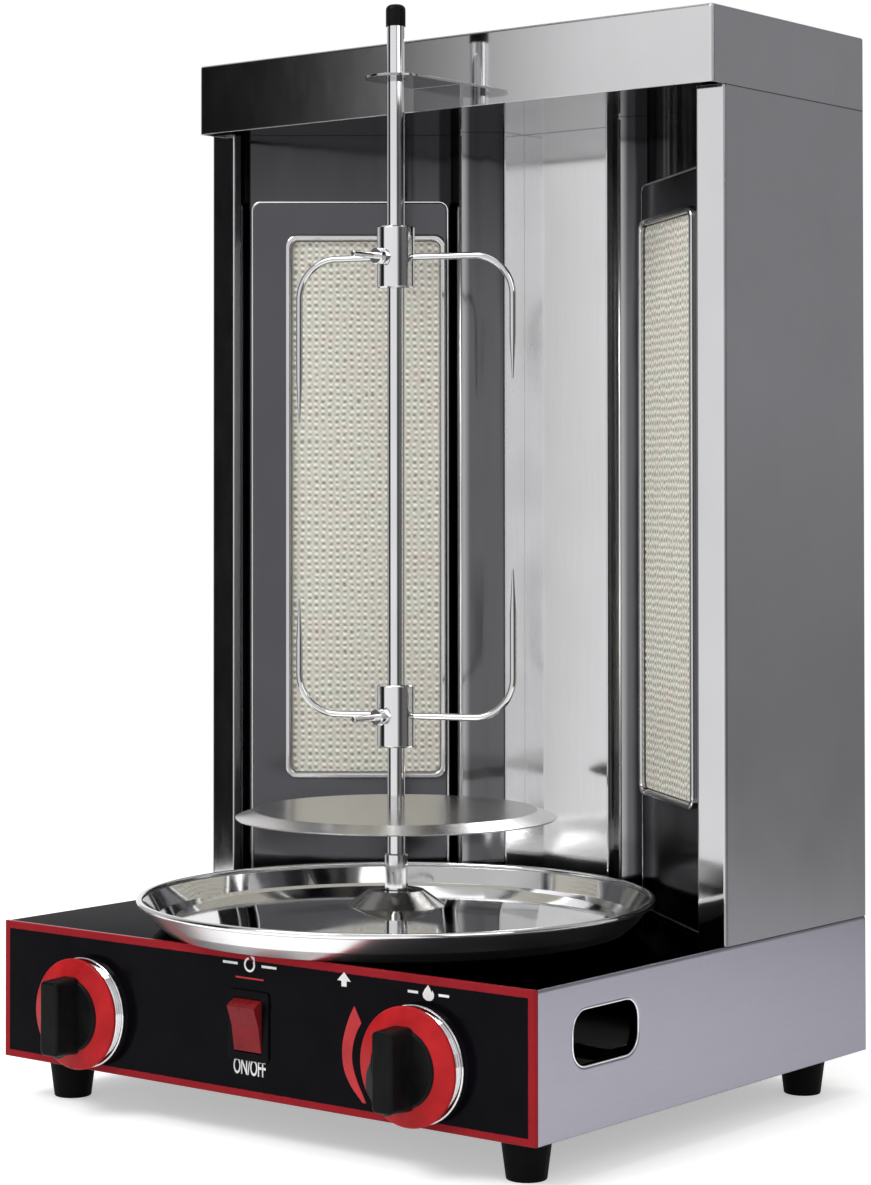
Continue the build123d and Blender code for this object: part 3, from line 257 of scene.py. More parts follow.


# What sets some sheets apart: a painted dark reflection on the deck, painted shade inside the base and on the
# liner, and brushing with a painted sheen

def painted_dark_deck(mat):
    """The polished deck's colour is set nearly black, a painted reflection of the dark room it mirrors."""
    deck_z = in_mm(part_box("base_shell"))[1][2]
    top = mat.calc("MULTIPLY", mat.remap(mat.xyz()[2], deck_z - 1.2, deck_z - 0.4, 0.0, 1.0),
                   mat.remap(mat.facing()[2], 0.85, 0.97, 0.0, 1.0))
    mat.set("Base Color", mat.mix(top, mat.fed("Base Color"), (0.022, 0.022, 0.024)))
    mat.set("Roughness", mat.blend(top, mat.fed("Roughness"), 0.09))


def shaded_inside(mat):
    """The inner faces of the base are set nearly black: painted shade inside the base."""
    side_x, back_y, deck_z = in_mm(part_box("base_shell"))[1]
    x, y, z = mat.xyz()
    inset = mat.smallest(mat.calc("SUBTRACT", side_x, mat.calc("ABSOLUTE", x)),
                         mat.calc("SUBTRACT", deck_z, z),
                         mat.calc("SUBTRACT", back_y, y))
    inner = mat.remap(inset, 0.55, 0.85, 0.0, 0.97)
    mat.set("Base Color", mat.mix(inner, mat.fed("Base Color"), (0.004, 0.004, 0.004)))


def liner_painted_shade(mat):
    """Painted shade darkens the liner in the burner corner and under the hood, and a painted highlight
    brightens the fold beside it.
    """
    burner_corner, bright_fold = (77.5, 118.0), (62.0, 108.5)
    painted_shade_colour, painted_highlight_colour = (0.006, 0.006, 0.007), (0.60, 0.60, 0.605)
    x, y, z = mat.xyz()

    def distance(from_x, from_y):
        """Distance from an upright line at from_x, on either side, and from_y."""
        return mat.hypot(mat.calc("SUBTRACT", mat.calc("ABSOLUTE", x), from_x),
                         mat.calc("SUBTRACT", y, from_y))

    cloud = mat.even(mat.noise(20.0, 3.0, 0.6, scale=(1, 1, 0.2), seed=15.0), -0.9, 0.9)
    ragged = mat.calc("ADD", distance(*burner_corner), cloud)
    # Painted shade in the burner corner and toward the top under the hood, and a painted highlight along the
    # fold.
    corner = mat.remap(ragged, 6.0, 11.0, 0.88, 0.0, smooth=True)
    top = mat.remap(mat.calc("ADD", z, mat.calc("MULTIPLY", cloud, 6.0)), 470.0, 585.0, 0.0, 0.62)
    fold = mat.remap(distance(*bright_fold), 1.5, 6.5, 0.55, 0.0, smooth=True)
    dark = mat.mix(mat.calc("MAXIMUM", corner, top), mat.fed("Base Color"), painted_shade_colour)
    mat.set("Base Color", mat.mix(fold, dark, painted_highlight_colour))


def satin_and_sheen_outside(mat):
    """The outside of the pan's wall is brushed, so it takes light from all round, and where it faces down its
    colour is lifted near white: a painted sheen.
    """
    skin = mat.fed("Roughness")
    under = mat.remap(mat.calc("MULTIPLY", mat.facing()[2], -1.0), 0.05, 0.20, 0.0, 1.0)
    # Painted sheen: the colour is lifted near white on the faces turned down.
    mat.set("Base Color", mat.mix(under, mat.fed("Base Color"), (0.97, 0.97, 0.975)))
    mat.set("Roughness", mat.blend(under, skin, mat.remap(skin, 0.0, 0.2, 0.28, 0.38)))


# Metals. Grain is drawn up the sheet or along the machine's depth

upright, level = (1, 1, 0.02), (1, 0.02, 1)
polished = ((0.67, 0.67, 0.675), 0.06)
tower_top = in_mm(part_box("tower_shell"))[1][2]

# The tower's sides carry painted shade toward the bottom and a painted shade line at the seam under the hood.
side_steel = steel("side_steel", (0.41, 0.405, 0.43), 0.31, grain=upright, grain_depth=0.005,
                   front=polished, painted_foot_shade=(90, 420, 0.55), seam=tower_top)
hood_steel = steel("hood_steel", (0.43, 0.425, 0.45), 0.31, grain=upright, grain_depth=0.005,
                   front=polished, edge=0.9)
base_steel = steel("base_steel", (0.352, 0.344, 0.393), 0.30, grain=level, grain_depth=0.005, edge=0.8)
base_steel.set("Specular Tint", (0.12, 0.12, 0.125))
painted_dark_deck(base_steel)
shaded_inside(base_steel)

# The liner, burner plates and ceiling are stainless like the back, set dark as painted shade inside the
# burner chamber.
liner_steel = steel("liner_steel", (0.12, 0.12, 0.126), 0.09, grain=upright, grain_depth=0.001,
                    wave=0.08, streak=0.9)
liner_painted_shade(liner_steel)
plate_steel = steel("plate_steel", (0.095, 0.094, 0.102), 0.14, grain=upright, grain_depth=0.001, wave=0.08)
back_steel = steel("back_steel", (0.76, 0.76, 0.765), 0.10, grain=upright, grain_depth=0.001, wave=0.08)
ceiling_steel = steel("ceiling_steel", (0.10, 0.10, 0.105), 0.12, grain=level, grain_depth=0.001, wave=0.08)
# The hems' steel is set near white, brighter than the sheets they edge: a painted highlight on real round
# beads.
hem_steel = steel("hem_steel", (0.93, 0.93, 0.93), 0.30, grain_depth=0.001, edge=0)
frame_steel = steel("frame_steel", (0.60, 0.60, 0.60), 0.07, grain_depth=0.0006, mark=0.04)

wire_steel = steel("wire_steel", (0.60, 0.60, 0.60), 0.07, grain_depth=0.0006, mark=0.04, edge=0)
bracket_steel = steel("bracket_steel", (0.34, 0.335, 0.345), 0.14, grain_depth=0.0006, mark=0.04)
bright_steel = steel("bright_steel", (0.74, 0.74, 0.75), 0.06, grain=(1, 1, 0.05), grain_depth=0.0006,
                     mark=0.04)
disc_steel = steel("disc_steel", (0.57, 0.56, 0.545), 0.24, grain_depth=0.0002, mark=0.02, spread=0.05)
pan_steel = steel("pan_steel", (0.74, 0.74, 0.735), 0.06, grain_depth=0.0004, wave=0.10, mark=0.03)
satin_and_sheen_outside(pan_steel)

zinc = steel("zinc", (0.60, 0.60, 0.59), 0.33, spread=0.14)
dull_zinc = steel("dull_zinc", (0.03, 0.03, 0.03), 0.5, spread=0.14)
brass = steel("brass", (0.72, 0.53, 0.25), 0.27)


# Plastics, paints and inks

rocker_red = plastic("rocker_red", (0.20, 0.010, 0.014), 0.30, shine=0.12)
black = plastic("black_plastic", (0.004, 0.0042, 0.0045), 0.34, shine=0.06)
switch_black = plastic("switch_black", (0.002, 0.002, 0.003), 0.30, shine=0.04)
rubber = plastic("rubber", (0.002, 0.002, 0.0023), 0.6, speck=0.6, depth=0.05, shine=0.05)
motor_paint = plastic("motor_paint", (0.16, 0.17, 0.18), 0.42, speck=1.2, depth=0.04)
print_white = plastic("print_white", (0.78, 0.78, 0.77), 0.42, speck=0.5, depth=0.004)
print_red = plastic("print_red", (0.45, 0.020, 0.026), 0.32, speck=0.5, depth=0.004)


def skirt_paint(side):
    """Black knob skirt with a red sweep that thins out at both ends."""
    low, high = in_mm(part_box(f"{side}_knob_skirt"))
    centre_x, centre_z, radius = (low[0] + high[0]) / 2, (low[2] + high[2]) / 2, (high[0] - low[0]) / 2
    sweep_from, sweep_to = 242.0, 328.0
    narrow, broad = 0.98 * radius, 0.60 * radius
    mat = plastic(f"{side}_skirt_paint", (0.41, 0.011, 0.014), 0.30, shine=0.10)
    x, _, z = mat.xyz()
    dx, dz = mat.calc("SUBTRACT", x, centre_x), mat.calc("SUBTRACT", z, centre_z)
    turned = mat.calc("SUBTRACT", mat.calc("ARCTAN2", dz, dx), math.radians(sweep_from))
    run = mat.calc("DEGREES", mat.calc("WRAP", turned, 2 * math.pi, 0.0))
    start = mat.remap(run, 0.0, 30.0, narrow, broad)
    end = mat.remap(run, sweep_to - 40.0, sweep_to, broad, narrow + 0.01 * radius)
    past_edge = mat.calc("SUBTRACT", mat.hypot(dx, dz), mat.calc("MAXIMUM", start, end))
    red = mat.calc("MULTIPLY", mat.remap(past_edge, -0.15, 0.15, 0.0, 1.0),
                   mat.remap(run, sweep_to - 1.0, sweep_to + 1.0, 1.0, 0.0))
    mat.set("Base Color", mat.mix(red, (0.010, 0.0105, 0.011), mat.fed("Base Color")))
    return mat


def panel_lacquer():
    """Gloss black with a printed red border."""
    low, high = in_mm(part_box("control_panel"))
    border_width = 4.2
    mat = Mat("panel_lacquer", (0.004, 0.004, 0.006), rough=0.14)
    mat.set("Specular IOR Level", 0.03)
    x, _, z = mat.xyz()
    inset = mat.smallest(mat.calc("SUBTRACT", x, low[0]), mat.calc("SUBTRACT", high[0], x),
                         mat.calc("SUBTRACT", z, low[2]), mat.calc("SUBTRACT", high[2], z))
    ink = mat.calc("ADD", inset, mat.even(mat.noise(3.0, 2.0), -0.12, 0.12))
    border = mat.remap(ink, border_width - 0.1, border_width + 0.1, 1.0, 0.0)
    cloud = mat.even(mat.noise(30.0, 4.0, 0.6, seed=5.0))
    field = mat.mix(cloud, (0.002, 0.0017, 0.003), (0.004, 0.0035, 0.0052))
    red = mat.mix(cloud, (0.25, 0.012, 0.018), (0.31, 0.016, 0.022))
    mat.set("Base Color", mat.mix(border, field, red))
    mat.set("Roughness", mat.remap(mat.noise(7.0, 4.0, 0.7, seed=8.0), 0.35, 0.7, 0.11, 0.22))
    mat.bump(mat.noise(0.5, 2.0, 0.5, seed=2.0), 0.003)
    return mat


# Ceramics

def burner_ceramic():
    """Fired clay in warm and cool tints, with painted shade where the face's mesh is a hole."""
    mat = Mat("burner_ceramic", (0.80, 0.77, 0.70), rough=0.82)
    tint = mat.noise(16.0, 5.0, 0.75, seed=11.0)
    spot = mat.noise(2.4, 2.0, 0.6, seed=12.0)
    warm = mat.mix(mat.remap(tint, 0.38, 0.62, 0.0, 1.0), (0.96, 1.0, 0.87), (1.0, 0.91, 0.84))
    speck = mat.mix(mat.remap(spot, 0.42, 0.62, 0.0, 0.30), warm, (0.68, 0.64, 0.56))
    depth = mat.node("ShaderNodeAttribute", attribute_name="depth", attribute_type="GEOMETRY")
    # Painted shade: the colour darkens in the holes, by the depth the face's mesh carries.
    hole_shade = mat.remap(depth.outputs["Fac"], 0.12, 1.0, 0.0, 1.0)
    mat.set("Base Color", mat.mix(hole_shade, speck, (0.27, 0.26, 0.21)))
    mat.set("Roughness", mat.even(spot, 0.72, 0.92))
    mat.bump(mat.noise(0.5, 3.0, 0.6, seed=13.0), 0.06)
    return mat


def ceramic_body():
    """The sides and back of the same clay."""
    mat = Mat("ceramic_body", (0.74, 0.71, 0.64), rough=0.85)
    spot = mat.noise(2.0, 3.0, 0.6, seed=14.0)
    mat.set("Base Color", mat.mix(mat.even(spot), (0.66, 0.63, 0.56), (0.79, 0.76, 0.69)))
    mat.bump(spot, 0.08)
    return mat


# Materials on the CAD pieces: those that aren't listed are bright steel

coats = [
    (side_steel, ["tower_shell"]),
    (base_steel, ["base_shell"]),
    (hood_steel, ["hood"]),
    (panel_lacquer(), ["control_panel"]),
    (ceiling_steel, ["ceiling_plate"]),
    (back_steel, ["back_liner"]),
    (bracket_steel, ["spit_bracket"]),
    (disc_steel, ["meat_disc"]),
    (pan_steel, ["drip_pan"]),
    (wire_steel, ["upper_fork", "lower_fork"]),
    (dull_zinc, ["bottom_plate", "motor_bracket"]),
    (zinc, ["foot_screws", "motor_screws", "case_screws", "gas_manifold", "output_shaft"]),
    (brass, ["gas_injectors", "gas_inlet", "deck_bushing"]),
    (black, ["spit_cap", "cord_gland"]),
    (motor_paint, ["gear_motor"]),
    (rocker_red, ["rocker"]),
    (switch_black, ["switch_housing"]),
    (rubber, ["rubber_feet"]),
]
paired_coats = [
    (liner_steel, ["liner"]),
    (plate_steel, ["burner_plate"]),
    (frame_steel, ["burner_frame"]),
    (ceramic_body(), ["ceramic"]),
    (zinc, ["burner_box", "mixing_tube", "gas_tube"]),
    (brass, ["gas_valve", "valve_plug", "spindle"]),
    (black, ["knob"]),
]
sharp_angle = math.radians(35.0)

coat = dict.fromkeys(nodes, bright_steel)
for mat, names in coats:
    coat.update(dict.fromkeys(names, mat))
for side in signs:
    coat[f"{side}_knob_skirt"] = skirt_paint(side)
    for mat, endings in paired_coats:
        coat.update({f"{side}_{ending}": mat for ending in endings})
for name, mat in coat.items():
    mesh = nodes[name].data
    mesh.materials.clear()
    mesh.materials.append(mat.material)
    mesh.shade_smooth()
    mesh.set_sharp_from_angle(angle=sharp_angle)


# New pieces

def on_casing(name, mesh, mat):
    """Show a mesh as a piece that rides on the casing."""
    mesh.materials.clear()
    mesh.materials.append(mat.material)
    obj = show(name, mesh)
    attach(obj, "casing")


def piece(name, make, mat, soft=False):
    """A new piece whose mesh the function make fills, shaded smooth where it is soft."""
    mesh = bpy.data.meshes.new(name)
    bm = bmesh.new()
    make(bm)
    bmesh.ops.recalc_face_normals(bm, faces=bm.faces)
    bm.to_mesh(mesh)
    bm.free()
    if soft:
        mesh.shade_smooth()
    on_casing(name, mesh, mat)


def burner_axes(side):
    """The way a burner faces, and the level way across it."""
    ahead_x, ahead_y = 0.62321, 0.78205
    outward = Vector((-signs[side] * ahead_x, -ahead_y, 0.0)).normalized()
    across = Vector((signs[side] * ahead_y, -ahead_x, 0.0)).normalized()
    return outward, across


def span(name, axis):
    """How far a CAD piece reaches along an axis, low and high."""
    reaches = [vert.co.dot(axis) for vert in nodes[name].data.vertices]
    return min(reaches), max(reaches)


# Ceramic faces, as a height field over each burner plate's window

face_clay = burner_ceramic()
cell_width, cell_height, window_corner = 4.6 * MM, 4.42 * MM, 4.6 * MM
face_gap, lump_height = 0.06 * MM, 0.75 * MM
columns, rows, rim_slope = 140, 470, 6
size_range, shift_range = (0.45, 1.0), (-0.17, 0.17)
seeds = {"left": 5, "right": 9}

# The level between lumps and holes, the swing about it, and how much of a row runs on between its lumps
mid_level, swing, row_share = 0.50, 0.47, 0.62


def eased(share):
    return share * share * (3 - 2 * share)


def lumps(seed):
    """Relief of small lumps in rows with holes between: 1 on top of a lump, 0 in a hole."""
    rng = random.Random(seed)
    cells = {}

    def cell(row, col):
        """The size of one lump, and its shift across and up."""
        if (row, col) not in cells:
            cells[row, col] = (rng.uniform(*size_range), rng.uniform(*shift_range), rng.uniform(*shift_range))
        return cells[row, col]

    def relief(a, z):
        u, v = a / cell_width, z / cell_height
        row, col = math.floor(v), math.floor(u)
        s, t = eased(u - col), eased(v - row)
        around = cell(row, col), cell(row, col + 1), cell(row + 1, col), cell(row + 1, col + 1)
        size, du, dv = [
            (1 - t) * ((1 - s) * first + s * second) + t * ((1 - s) * third + s * fourth)
            for first, second, third, fourth in zip(*around)
        ]
        wave = math.cos(2 * math.pi * (v + dv)) * (row_share + math.cos(2 * math.pi * (u + du)))
        return min(1.0, max(0.0, mid_level + swing * size * wave))

    return relief


def ceramic_face(side):
    outward, across = burner_axes(side)
    low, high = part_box(f"{side}_ceramic")
    mid_z, height = (low.z + high.z) / 2, high.z - low.z
    start, end = span(f"{side}_ceramic", across)
    mid_a, width = (start + end) / 2, end - start
    ahead = span(f"{side}_ceramic", outward)[1] + face_gap
    relief = lumps(seeds[side])

    def inside(a, z):
        """The point drawn in to the window's rounded corner, and how far out of it it lay."""
        flat_a, flat_z = width / 2 - window_corner, height / 2 - window_corner
        out_a, out_z = max(0.0, abs(a) - flat_a), max(0.0, abs(z) - flat_z)
        out = math.hypot(out_a, out_z) / window_corner
        if out > 1:
            return math.copysign(flat_a + out_a / out, a), math.copysign(flat_z + out_z / out, z), out
        return a, z, out

    def point(bm, depth, i, j):
        """One vertex, lower in a hole and along the rim of a rounded corner."""
        a, z, out = inside(-width / 2 + width * j / columns, -height / 2 + height * i / rows)
        top = relief(a, z)
        rim = min(1.0, rim_slope * max(0.0, 1.0 - out))
        place = across * (mid_a + a) + outward * (ahead + lump_height * top * rim)
        vert = bm.verts.new((place.x, place.y, mid_z + z))
        # The depth also drives the painted shade in the holes.
        vert[depth] = 1.0 - top
        return vert

    def make(bm):
        depth = bm.verts.layers.float.new("depth")
        grid = [[point(bm, depth, i, j) for j in range(columns + 1)] for i in range(rows + 1)]
        for here, above in zip(grid, grid[1:]):
            for j in range(columns):
                bm.faces.new((here[j], here[j + 1], above[j + 1], above[j]))

    piece(f"{side}_ceramic_face", make, face_clay, soft=True)


for side in signs:
    ceramic_face(side)


# Folded edges that catch the light, as thin round beads along the sheet, in steel set near white as a painted
# highlight

def bead(name, points, radius, closed=False, sides=8):
    """Bright round wire through the points, given in metres."""
    slant = Vector((0.31, 0.87, 0.39))
    angles = [2 * math.pi * k / sides for k in range(sides)]
    count = len(points)

    def ring(bm, i):
        before = points[i - 1] if (i or closed) else points[i]
        after = points[(i + 1) % count] if (i < count - 1 or closed) else points[i]
        along = (after - before).normalized()
        side = along.cross(slant).normalized()
        up = along.cross(side)
        return [bm.verts.new(points[i] + radius * (math.cos(turn) * side + math.sin(turn) * up))
                for turn in angles]

    def make(bm):
        rings = [ring(bm, i) for i in range(count)]
        for i in range(count if closed else count - 1):
            here, there = rings[i], rings[(i + 1) % count]
            for k in range(sides):
                beside = (k + 1) % sides
                bm.faces.new((here[k], here[beside], there[beside], there[k]))
        if not closed:
            bm.faces.new(rings[0])
            bm.faces.new(list(reversed(rings[-1])))

    piece(name, make, hem_steel, soft=True)


def arc(cx, cz, radius, start, end, steps=24):
    """Points on a round stretch, with its ends in degrees."""
    turns = [math.radians(start + (end - start) * i / steps) for i in range(steps + 1)]
    return [(cx + radius * math.cos(turn), cz + radius * math.sin(turn)) for turn in turns]


def rounded(u0, u1, v0, v1, corner, steps):
    """Rounded rectangle in two coordinates, as a closed run of points."""
    centres = ((u1 - corner, v1 - corner), (u0 + corner, v1 - corner),
               (u0 + corner, v0 + corner), (u1 - corner, v0 + corner))
    run = []
    for quarter, (cu, cv) in enumerate(centres):
        run += arc(cu, cv, corner, 90 * quarter, 90 * quarter + 90, steps)
    return run


def plate_hem(side):
    """Round the burner plate's outer edge, flush with its front."""
    radius, inset, corner = 0.75 * MM, 0.55 * MM, 5.6 * MM
    outward, across = burner_axes(side)
    start, end = span(f"{side}_burner_plate", across)
    ahead = span(f"{side}_burner_plate", outward)[1] - radius
    low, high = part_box(f"{side}_burner_plate")
    edge = rounded(start + inset, end - inset, low.z + inset, high.z - inset, corner, 6)
    run = [across * a + outward * ahead + Vector((0, 0, z)) for a, z in edge]
    bead(f"{side}_plate_hem", run, radius, closed=True)


def post_fold(side):
    """Up the liner's fold beside the back."""
    fold_x, fold_y, radius, end_gap = 62.4 * MM, 109.0 * MM, 0.9 * MM, 2 * MM
    low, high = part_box(f"{side}_liner")
    run = [Vector((signs[side] * fold_x, fold_y, z)) for z in (low.z + end_gap, high.z - end_gap)]
    bead(f"{side}_post_fold", run, radius)


def hole_hem(side):
    """Round the hand hole in the base's side."""
    hole_front, hole_back, hole_low, hole_high, corner = -130.5, -69.5, 60.0, 90.5, 11.5
    radius = 0.5
    side_x = in_mm(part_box("base_shell"))[1][0] - radius
    edge = rounded(hole_front, hole_back, hole_low, hole_high, corner, 8)
    run = [Vector((signs[side] * side_x, y, z)) * MM for y, z in edge]
    bead(f"{side}_hole_hem", run, radius * MM, closed=True)


for side in signs:
    plate_hem(side)
    post_fold(side)
    hole_hem(side)


# Printed marks on the panel, as thin films of ink

panel_front = in_mm(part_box("control_panel"))[0][1]
ink_thick, ink_sink = 0.12, 0.02
dash_height = 1.4


def film(name, outlines, ink):
    """Flat printed shapes from outlines of (x, z) points in millimetres."""

    def make(bm):
        for points in outlines:
            near, far = [
                [bm.verts.new((x * MM, y * MM, z * MM)) for x, z in points]
                for y in (panel_front - ink_thick, panel_front + ink_sink)
            ]
            bm.faces.new(near)
            bm.faces.new(list(reversed(far)))
            for i in range(len(points)):
                j = (i + 1) % len(points)
                bm.faces.new((near[i], near[j], far[j], far[i]))

    piece(name, make, ink)


def band(cx, cz, inner, outer, start, end):
    return arc(cx, cz, outer, start, end) + list(reversed(arc(cx, cz, inner, start, end)))


def bar(x0, x1, z0, z1):
    return [(x0, z0), (x1, z0), (x1, z1), (x0, z1)]


def dashes(cx, cz, near, far):
    """A short line on each side of a mark, from near to far of its middle."""
    z0, z1 = cz - dash_height / 2, cz + dash_height / 2
    return [bar(cx - far, cx - near, z0, z1), bar(cx + near, cx + far, z0, z1)]


def shifted(cx, cz, points):
    return [(cx + x, cz + z) for x, z in points]


# Turning arrow over the rocker, with the red line under it

turn_z = 99.3
line_half, line_low, line_high = 10.5, turn_z - 8.0, turn_z - 7.1
turn_head = shifted(0.0, turn_z, [(3.6, 4.6), (0.6, 5.0), (3.9, 1.6)])
film("mark_turn", [band(0.0, turn_z, 2.9, 4.1, 100, 395), turn_head, *dashes(0.0, turn_z, 9.0, 20.0)],
     print_white)
film("mark_line", [bar(-line_half, line_half, line_low, line_high)], print_red)


# ON and OFF under the rocker

def switch_words():
    words_z, words_width = 41.8 * MM, 24.0 * MM
    curve = bpy.data.curves.new("switch_words", "FONT")
    curve.body = "ON/OFF"
    curve.align_x = "CENTER"
    curve.align_y = "CENTER"
    curve.size = 12.6 * MM
    curve.offset = 0.14 * MM
    curve.extrude = 0.07 * MM
    curve.space_character = 0.96
    text = show("switch_words_curve", curve)
    mesh = bpy.data.meshes.new_from_object(text)
    bpy.data.objects.remove(text)
    across = [vert.co.x for vert in mesh.vertices]
    squeeze = words_width / (max(across) - min(across))
    for vert in mesh.vertices:
        x, up, out = vert.co
        vert.co = (x * squeeze, (panel_front - 0.06) * MM - out, up + words_z)
    mesh.name = "mark_switch"
    on_casing("mark_switch", mesh, print_white)


switch_words()


# Upward arrow and a flame between two dashes, by the right knob

up_x, up_foot, up_neck, up_tip = 69.0, 94.6, 97.6, 102.4
shaft, wing = 1.8, 4.8
film("mark_up", [[(up_x, up_tip), (up_x - wing, up_neck), (up_x - shaft, up_neck), (up_x - shaft, up_foot),
                  (up_x + shaft, up_foot), (up_x + shaft, up_neck), (up_x + wing, up_neck)]], print_white)

flame_x, flame_z = 127.5, 97.0
flame = shifted(flame_x, flame_z, [
    (-0.1, 4.6), (-2.6, 1.9), (-3.9, -0.4), (-3.3, -2.4), (-1.5, -3.6), (0.1, -3.8),
    (2.1, -3.4), (3.7, -2.0), (3.9, 0.0), (2.7, 2.0), (2.1, 0.8), (1.3, 2.6),
])
film("mark_flame", [flame, *dashes(flame_x, flame_z, 7.0, 14.0)], print_white)


# Red blade left of the right knob: widest at its shoulder, thinning downward

def spline(points, steps=5):
    """Catmull-Rom curve through the points."""
    run = [points[0]] + points + [points[-1]]
    curve = []
    for i in range(1, len(run) - 2):
        a, b, c, d = run[i - 1:i + 3]
        for k in range(steps):
            t = k / steps
            curve.append(tuple(
                0.5 * (2 * b[j] + (c[j] - a[j]) * t + (2 * a[j] - 5 * b[j] + 4 * c[j] - d[j]) * t * t
                       + (3 * b[j] - a[j] - 3 * c[j] + d[j]) * t ** 3)
                for j in (0, 1)))
    return curve + [points[-1]]


blade_down = [(76.3, 84.9), (72.5, 77.8), (69.2, 68.9), (67.8, 62.0), (68.0, 54.5), (69.7, 48.0),
              (73.6, 41.7), (77.9, 37.2), (82.3, 33.2)]
blade_up = [(84.6, 33.4), (81.2, 39.3), (78.5, 44.0), (75.8, 50.4), (74.7, 57.0), (75.5, 63.8),
            (78.0, 70.8), (81.3, 76.2)]
film("mark_blade", [spline(blade_down) + spline(blade_up)], print_red)


# White paper floor, which glows a little for the camera, in metal and through glass

def floor():
    half_size, glow_strength = 0.8, 0.42
    mesh = bpy.data.meshes.new("floor")
    bm = bmesh.new()
    bmesh.ops.create_grid(bm, x_segments=2, y_segments=2, size=half_size)
    bm.to_mesh(mesh)
    bm.free()
    show("floor", mesh)
    paper = Mat("floor_paper", (0.92, 0.92, 0.92), rough=0.9)
    paper.set("Specular IOR Level", 0.1)
    path = paper.node("ShaderNodeLightPath").outputs
    mirrored = paper.calc("ADD", path["Is Glossy Ray"], path["Is Transmission Ray"])
    seen = paper.calc("ADD", path["Is Camera Ray"], mirrored)
    glow = paper.node("ShaderNodeEmission")
    paper.feed((1, 1, 1), glow.inputs["Color"])
    paper.feed(paper.calc("MULTIPLY", seen, glow_strength), glow.inputs["Strength"])
    both = paper.node("ShaderNodeAddShader")
    paper.feed(paper.shader.outputs[0], both.inputs[0])
    paper.feed(glow.outputs[0], both.inputs[1])
    paper.feed(both.outputs[0], paper.nodes["Material Output"].inputs["Surface"])
    mesh.materials.append(paper.material)


floor()


# Camera, as fitted to the photo: focal length and optical centre in the photo's pixels

def photo_camera():
    photo_width, photo_height, sensor = 871.0, 1185.0, 36.0
    focal, optical_x, optical_y = 2890.4, 408.2, 443.1
    place = Vector((1.0847, -1.3702, 0.3646))
    yaw, pitch, roll = math.radians(38.837), math.radians(-0.926), math.radians(-0.04)
    data = bpy.data.cameras.new("camera")
    data.sensor_width = sensor
    data.sensor_fit = "AUTO"
    data.lens = sensor * focal / photo_height
    data.shift_x = (photo_width / 2 - optical_x) / photo_height
    data.shift_y = -(photo_height / 2 - optical_y) / photo_height
    data.clip_end = 60.0
    camera = show("camera", data)
    scene.camera = camera
    forward = Vector((-math.sin(yaw) * math.cos(pitch), math.cos(yaw) * math.cos(pitch), -math.sin(pitch)))
    turn = forward.to_track_quat("-Z", "Y").to_matrix().to_4x4() @ Matrix.Rotation(roll, 4, "Z")
    camera.matrix_world = Matrix.Translation(place) @ turn


photo_camera()


# Studio: bands of light and dark round the object, white where the camera looks

# Degrees from straight in front of the object, growing to its left, and how bright it is there
bands = [
    (-180, 0.25), (-165, 0.30), (-150, 0.46), (-141, 0.50), (-128, 0.42), (-114, 0.17), (-80, 0.15),
    (-68, 0.05), (-60, 0.08), (-52, 0.35), (-45, 0.95), (30, 1.0), (35.4, 0.90), (37.6, 0.42),
    (39.9, 0.05), (41.8, 0.008), (62, 0.03), (74, 0.25), (85, 0.62), (102, 0.62), (112, 0.40),
    (119, 1.0), (164, 1.0), (172, 0.40), (180, 0.25),
]


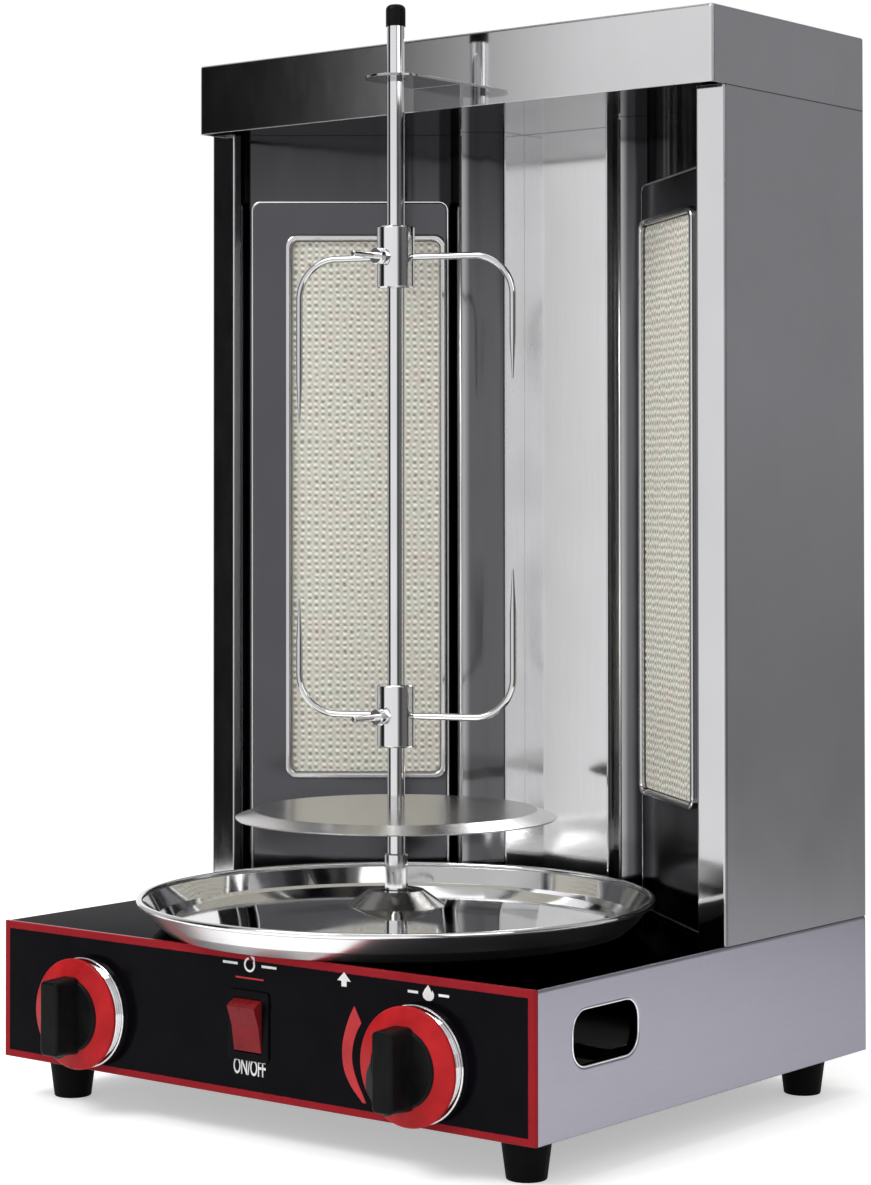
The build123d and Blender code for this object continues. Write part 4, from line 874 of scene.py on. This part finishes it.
def studio_world():
    scene.world = bpy.data.worlds.new("studio")
    tree = Tree(scene.world)
    x, y, z = tree.split(tree.node("ShaderNodeTexCoord").outputs["Generated"])
    angle = tree.calc("ARCTAN2", tree.calc("MULTIPLY", x, -1.0), tree.calc("MULTIPLY", y, -1.0))
    ramp = tree.node("ShaderNodeValToRGB")
    tree.feed(tree.calc("ADD", tree.calc("DIVIDE", angle, 2 * math.pi), 0.5), ramp.inputs[0])
    elements = ramp.color_ramp.elements
    while len(elements) < len(bands):
        elements.new(0.5)
    for element, (degrees, value) in zip(elements, bands):
        element.position = (degrees + 180) / 360
        element.color = (value, value, value * 1.01, 1)
    overhead = tree.remap(z, 0.55, 0.85, 0.0, 1.0, smooth=True)
    sky = tree.mix(overhead, ramp.outputs["Color"], (0.62, 0.62, 0.63))
    lit = tree.nodes["Background"]
    tree.feed(sky, lit.inputs["Color"])
    tree.feed(1.0, lit.inputs["Strength"])
    white = tree.node("ShaderNodeBackground")
    tree.feed((1, 1, 1), white.inputs["Color"])
    tree.feed(1.0, white.inputs["Strength"])

    # Metal and glass see the white backdrop too, where it stands behind the object
    back_x, back_y, backdrop_edge = 0.627, 0.779, 0.94
    path = tree.node("ShaderNodeLightPath").outputs
    mirrored = tree.calc("ADD", path["Is Glossy Ray"], path["Is Transmission Ray"])
    behind = tree.calc("SUBTRACT", tree.calc("MULTIPLY", y, back_y), tree.calc("MULTIPLY", x, back_x))
    backdrop = tree.calc("GREATER_THAN", behind, backdrop_edge)
    shown = tree.calc("MAXIMUM", path["Is Camera Ray"], tree.calc("MULTIPLY", mirrored, backdrop))
    either = tree.node("ShaderNodeMixShader")
    for value, socket in zip((shown, lit.outputs[0], white.outputs[0]), either.inputs):
        tree.feed(value, socket)
    tree.feed(either.outputs[0], tree.nodes["World Output"].inputs["Surface"])


studio_world()


# Lamps, all aimed at the middle of the grill

aim = Vector((0, 0, 0.3))


def lamp(name, place, size, power):
    data = bpy.data.lights.new(name, "AREA")
    data.shape = "RECTANGLE"
    data.size, data.size_y = size
    data.energy = power
    obj = show(name, data)
    obj.location = place
    obj.rotation_mode = "QUATERNION"
    obj.rotation_quaternion = (aim - Vector(place)).to_track_quat("-Z", "Y")


lamp("key", (-0.6, -2.2, 2.6), (1.6, 1.2), 46)
lamp("fill", (2.4, -0.6, 1.6), (1.4, 1.4), 14)
lamp("top", (0.0, 0.3, 3.0), (2.0, 2.0), 14)

scene.view_settings.view_transform = "Standard"
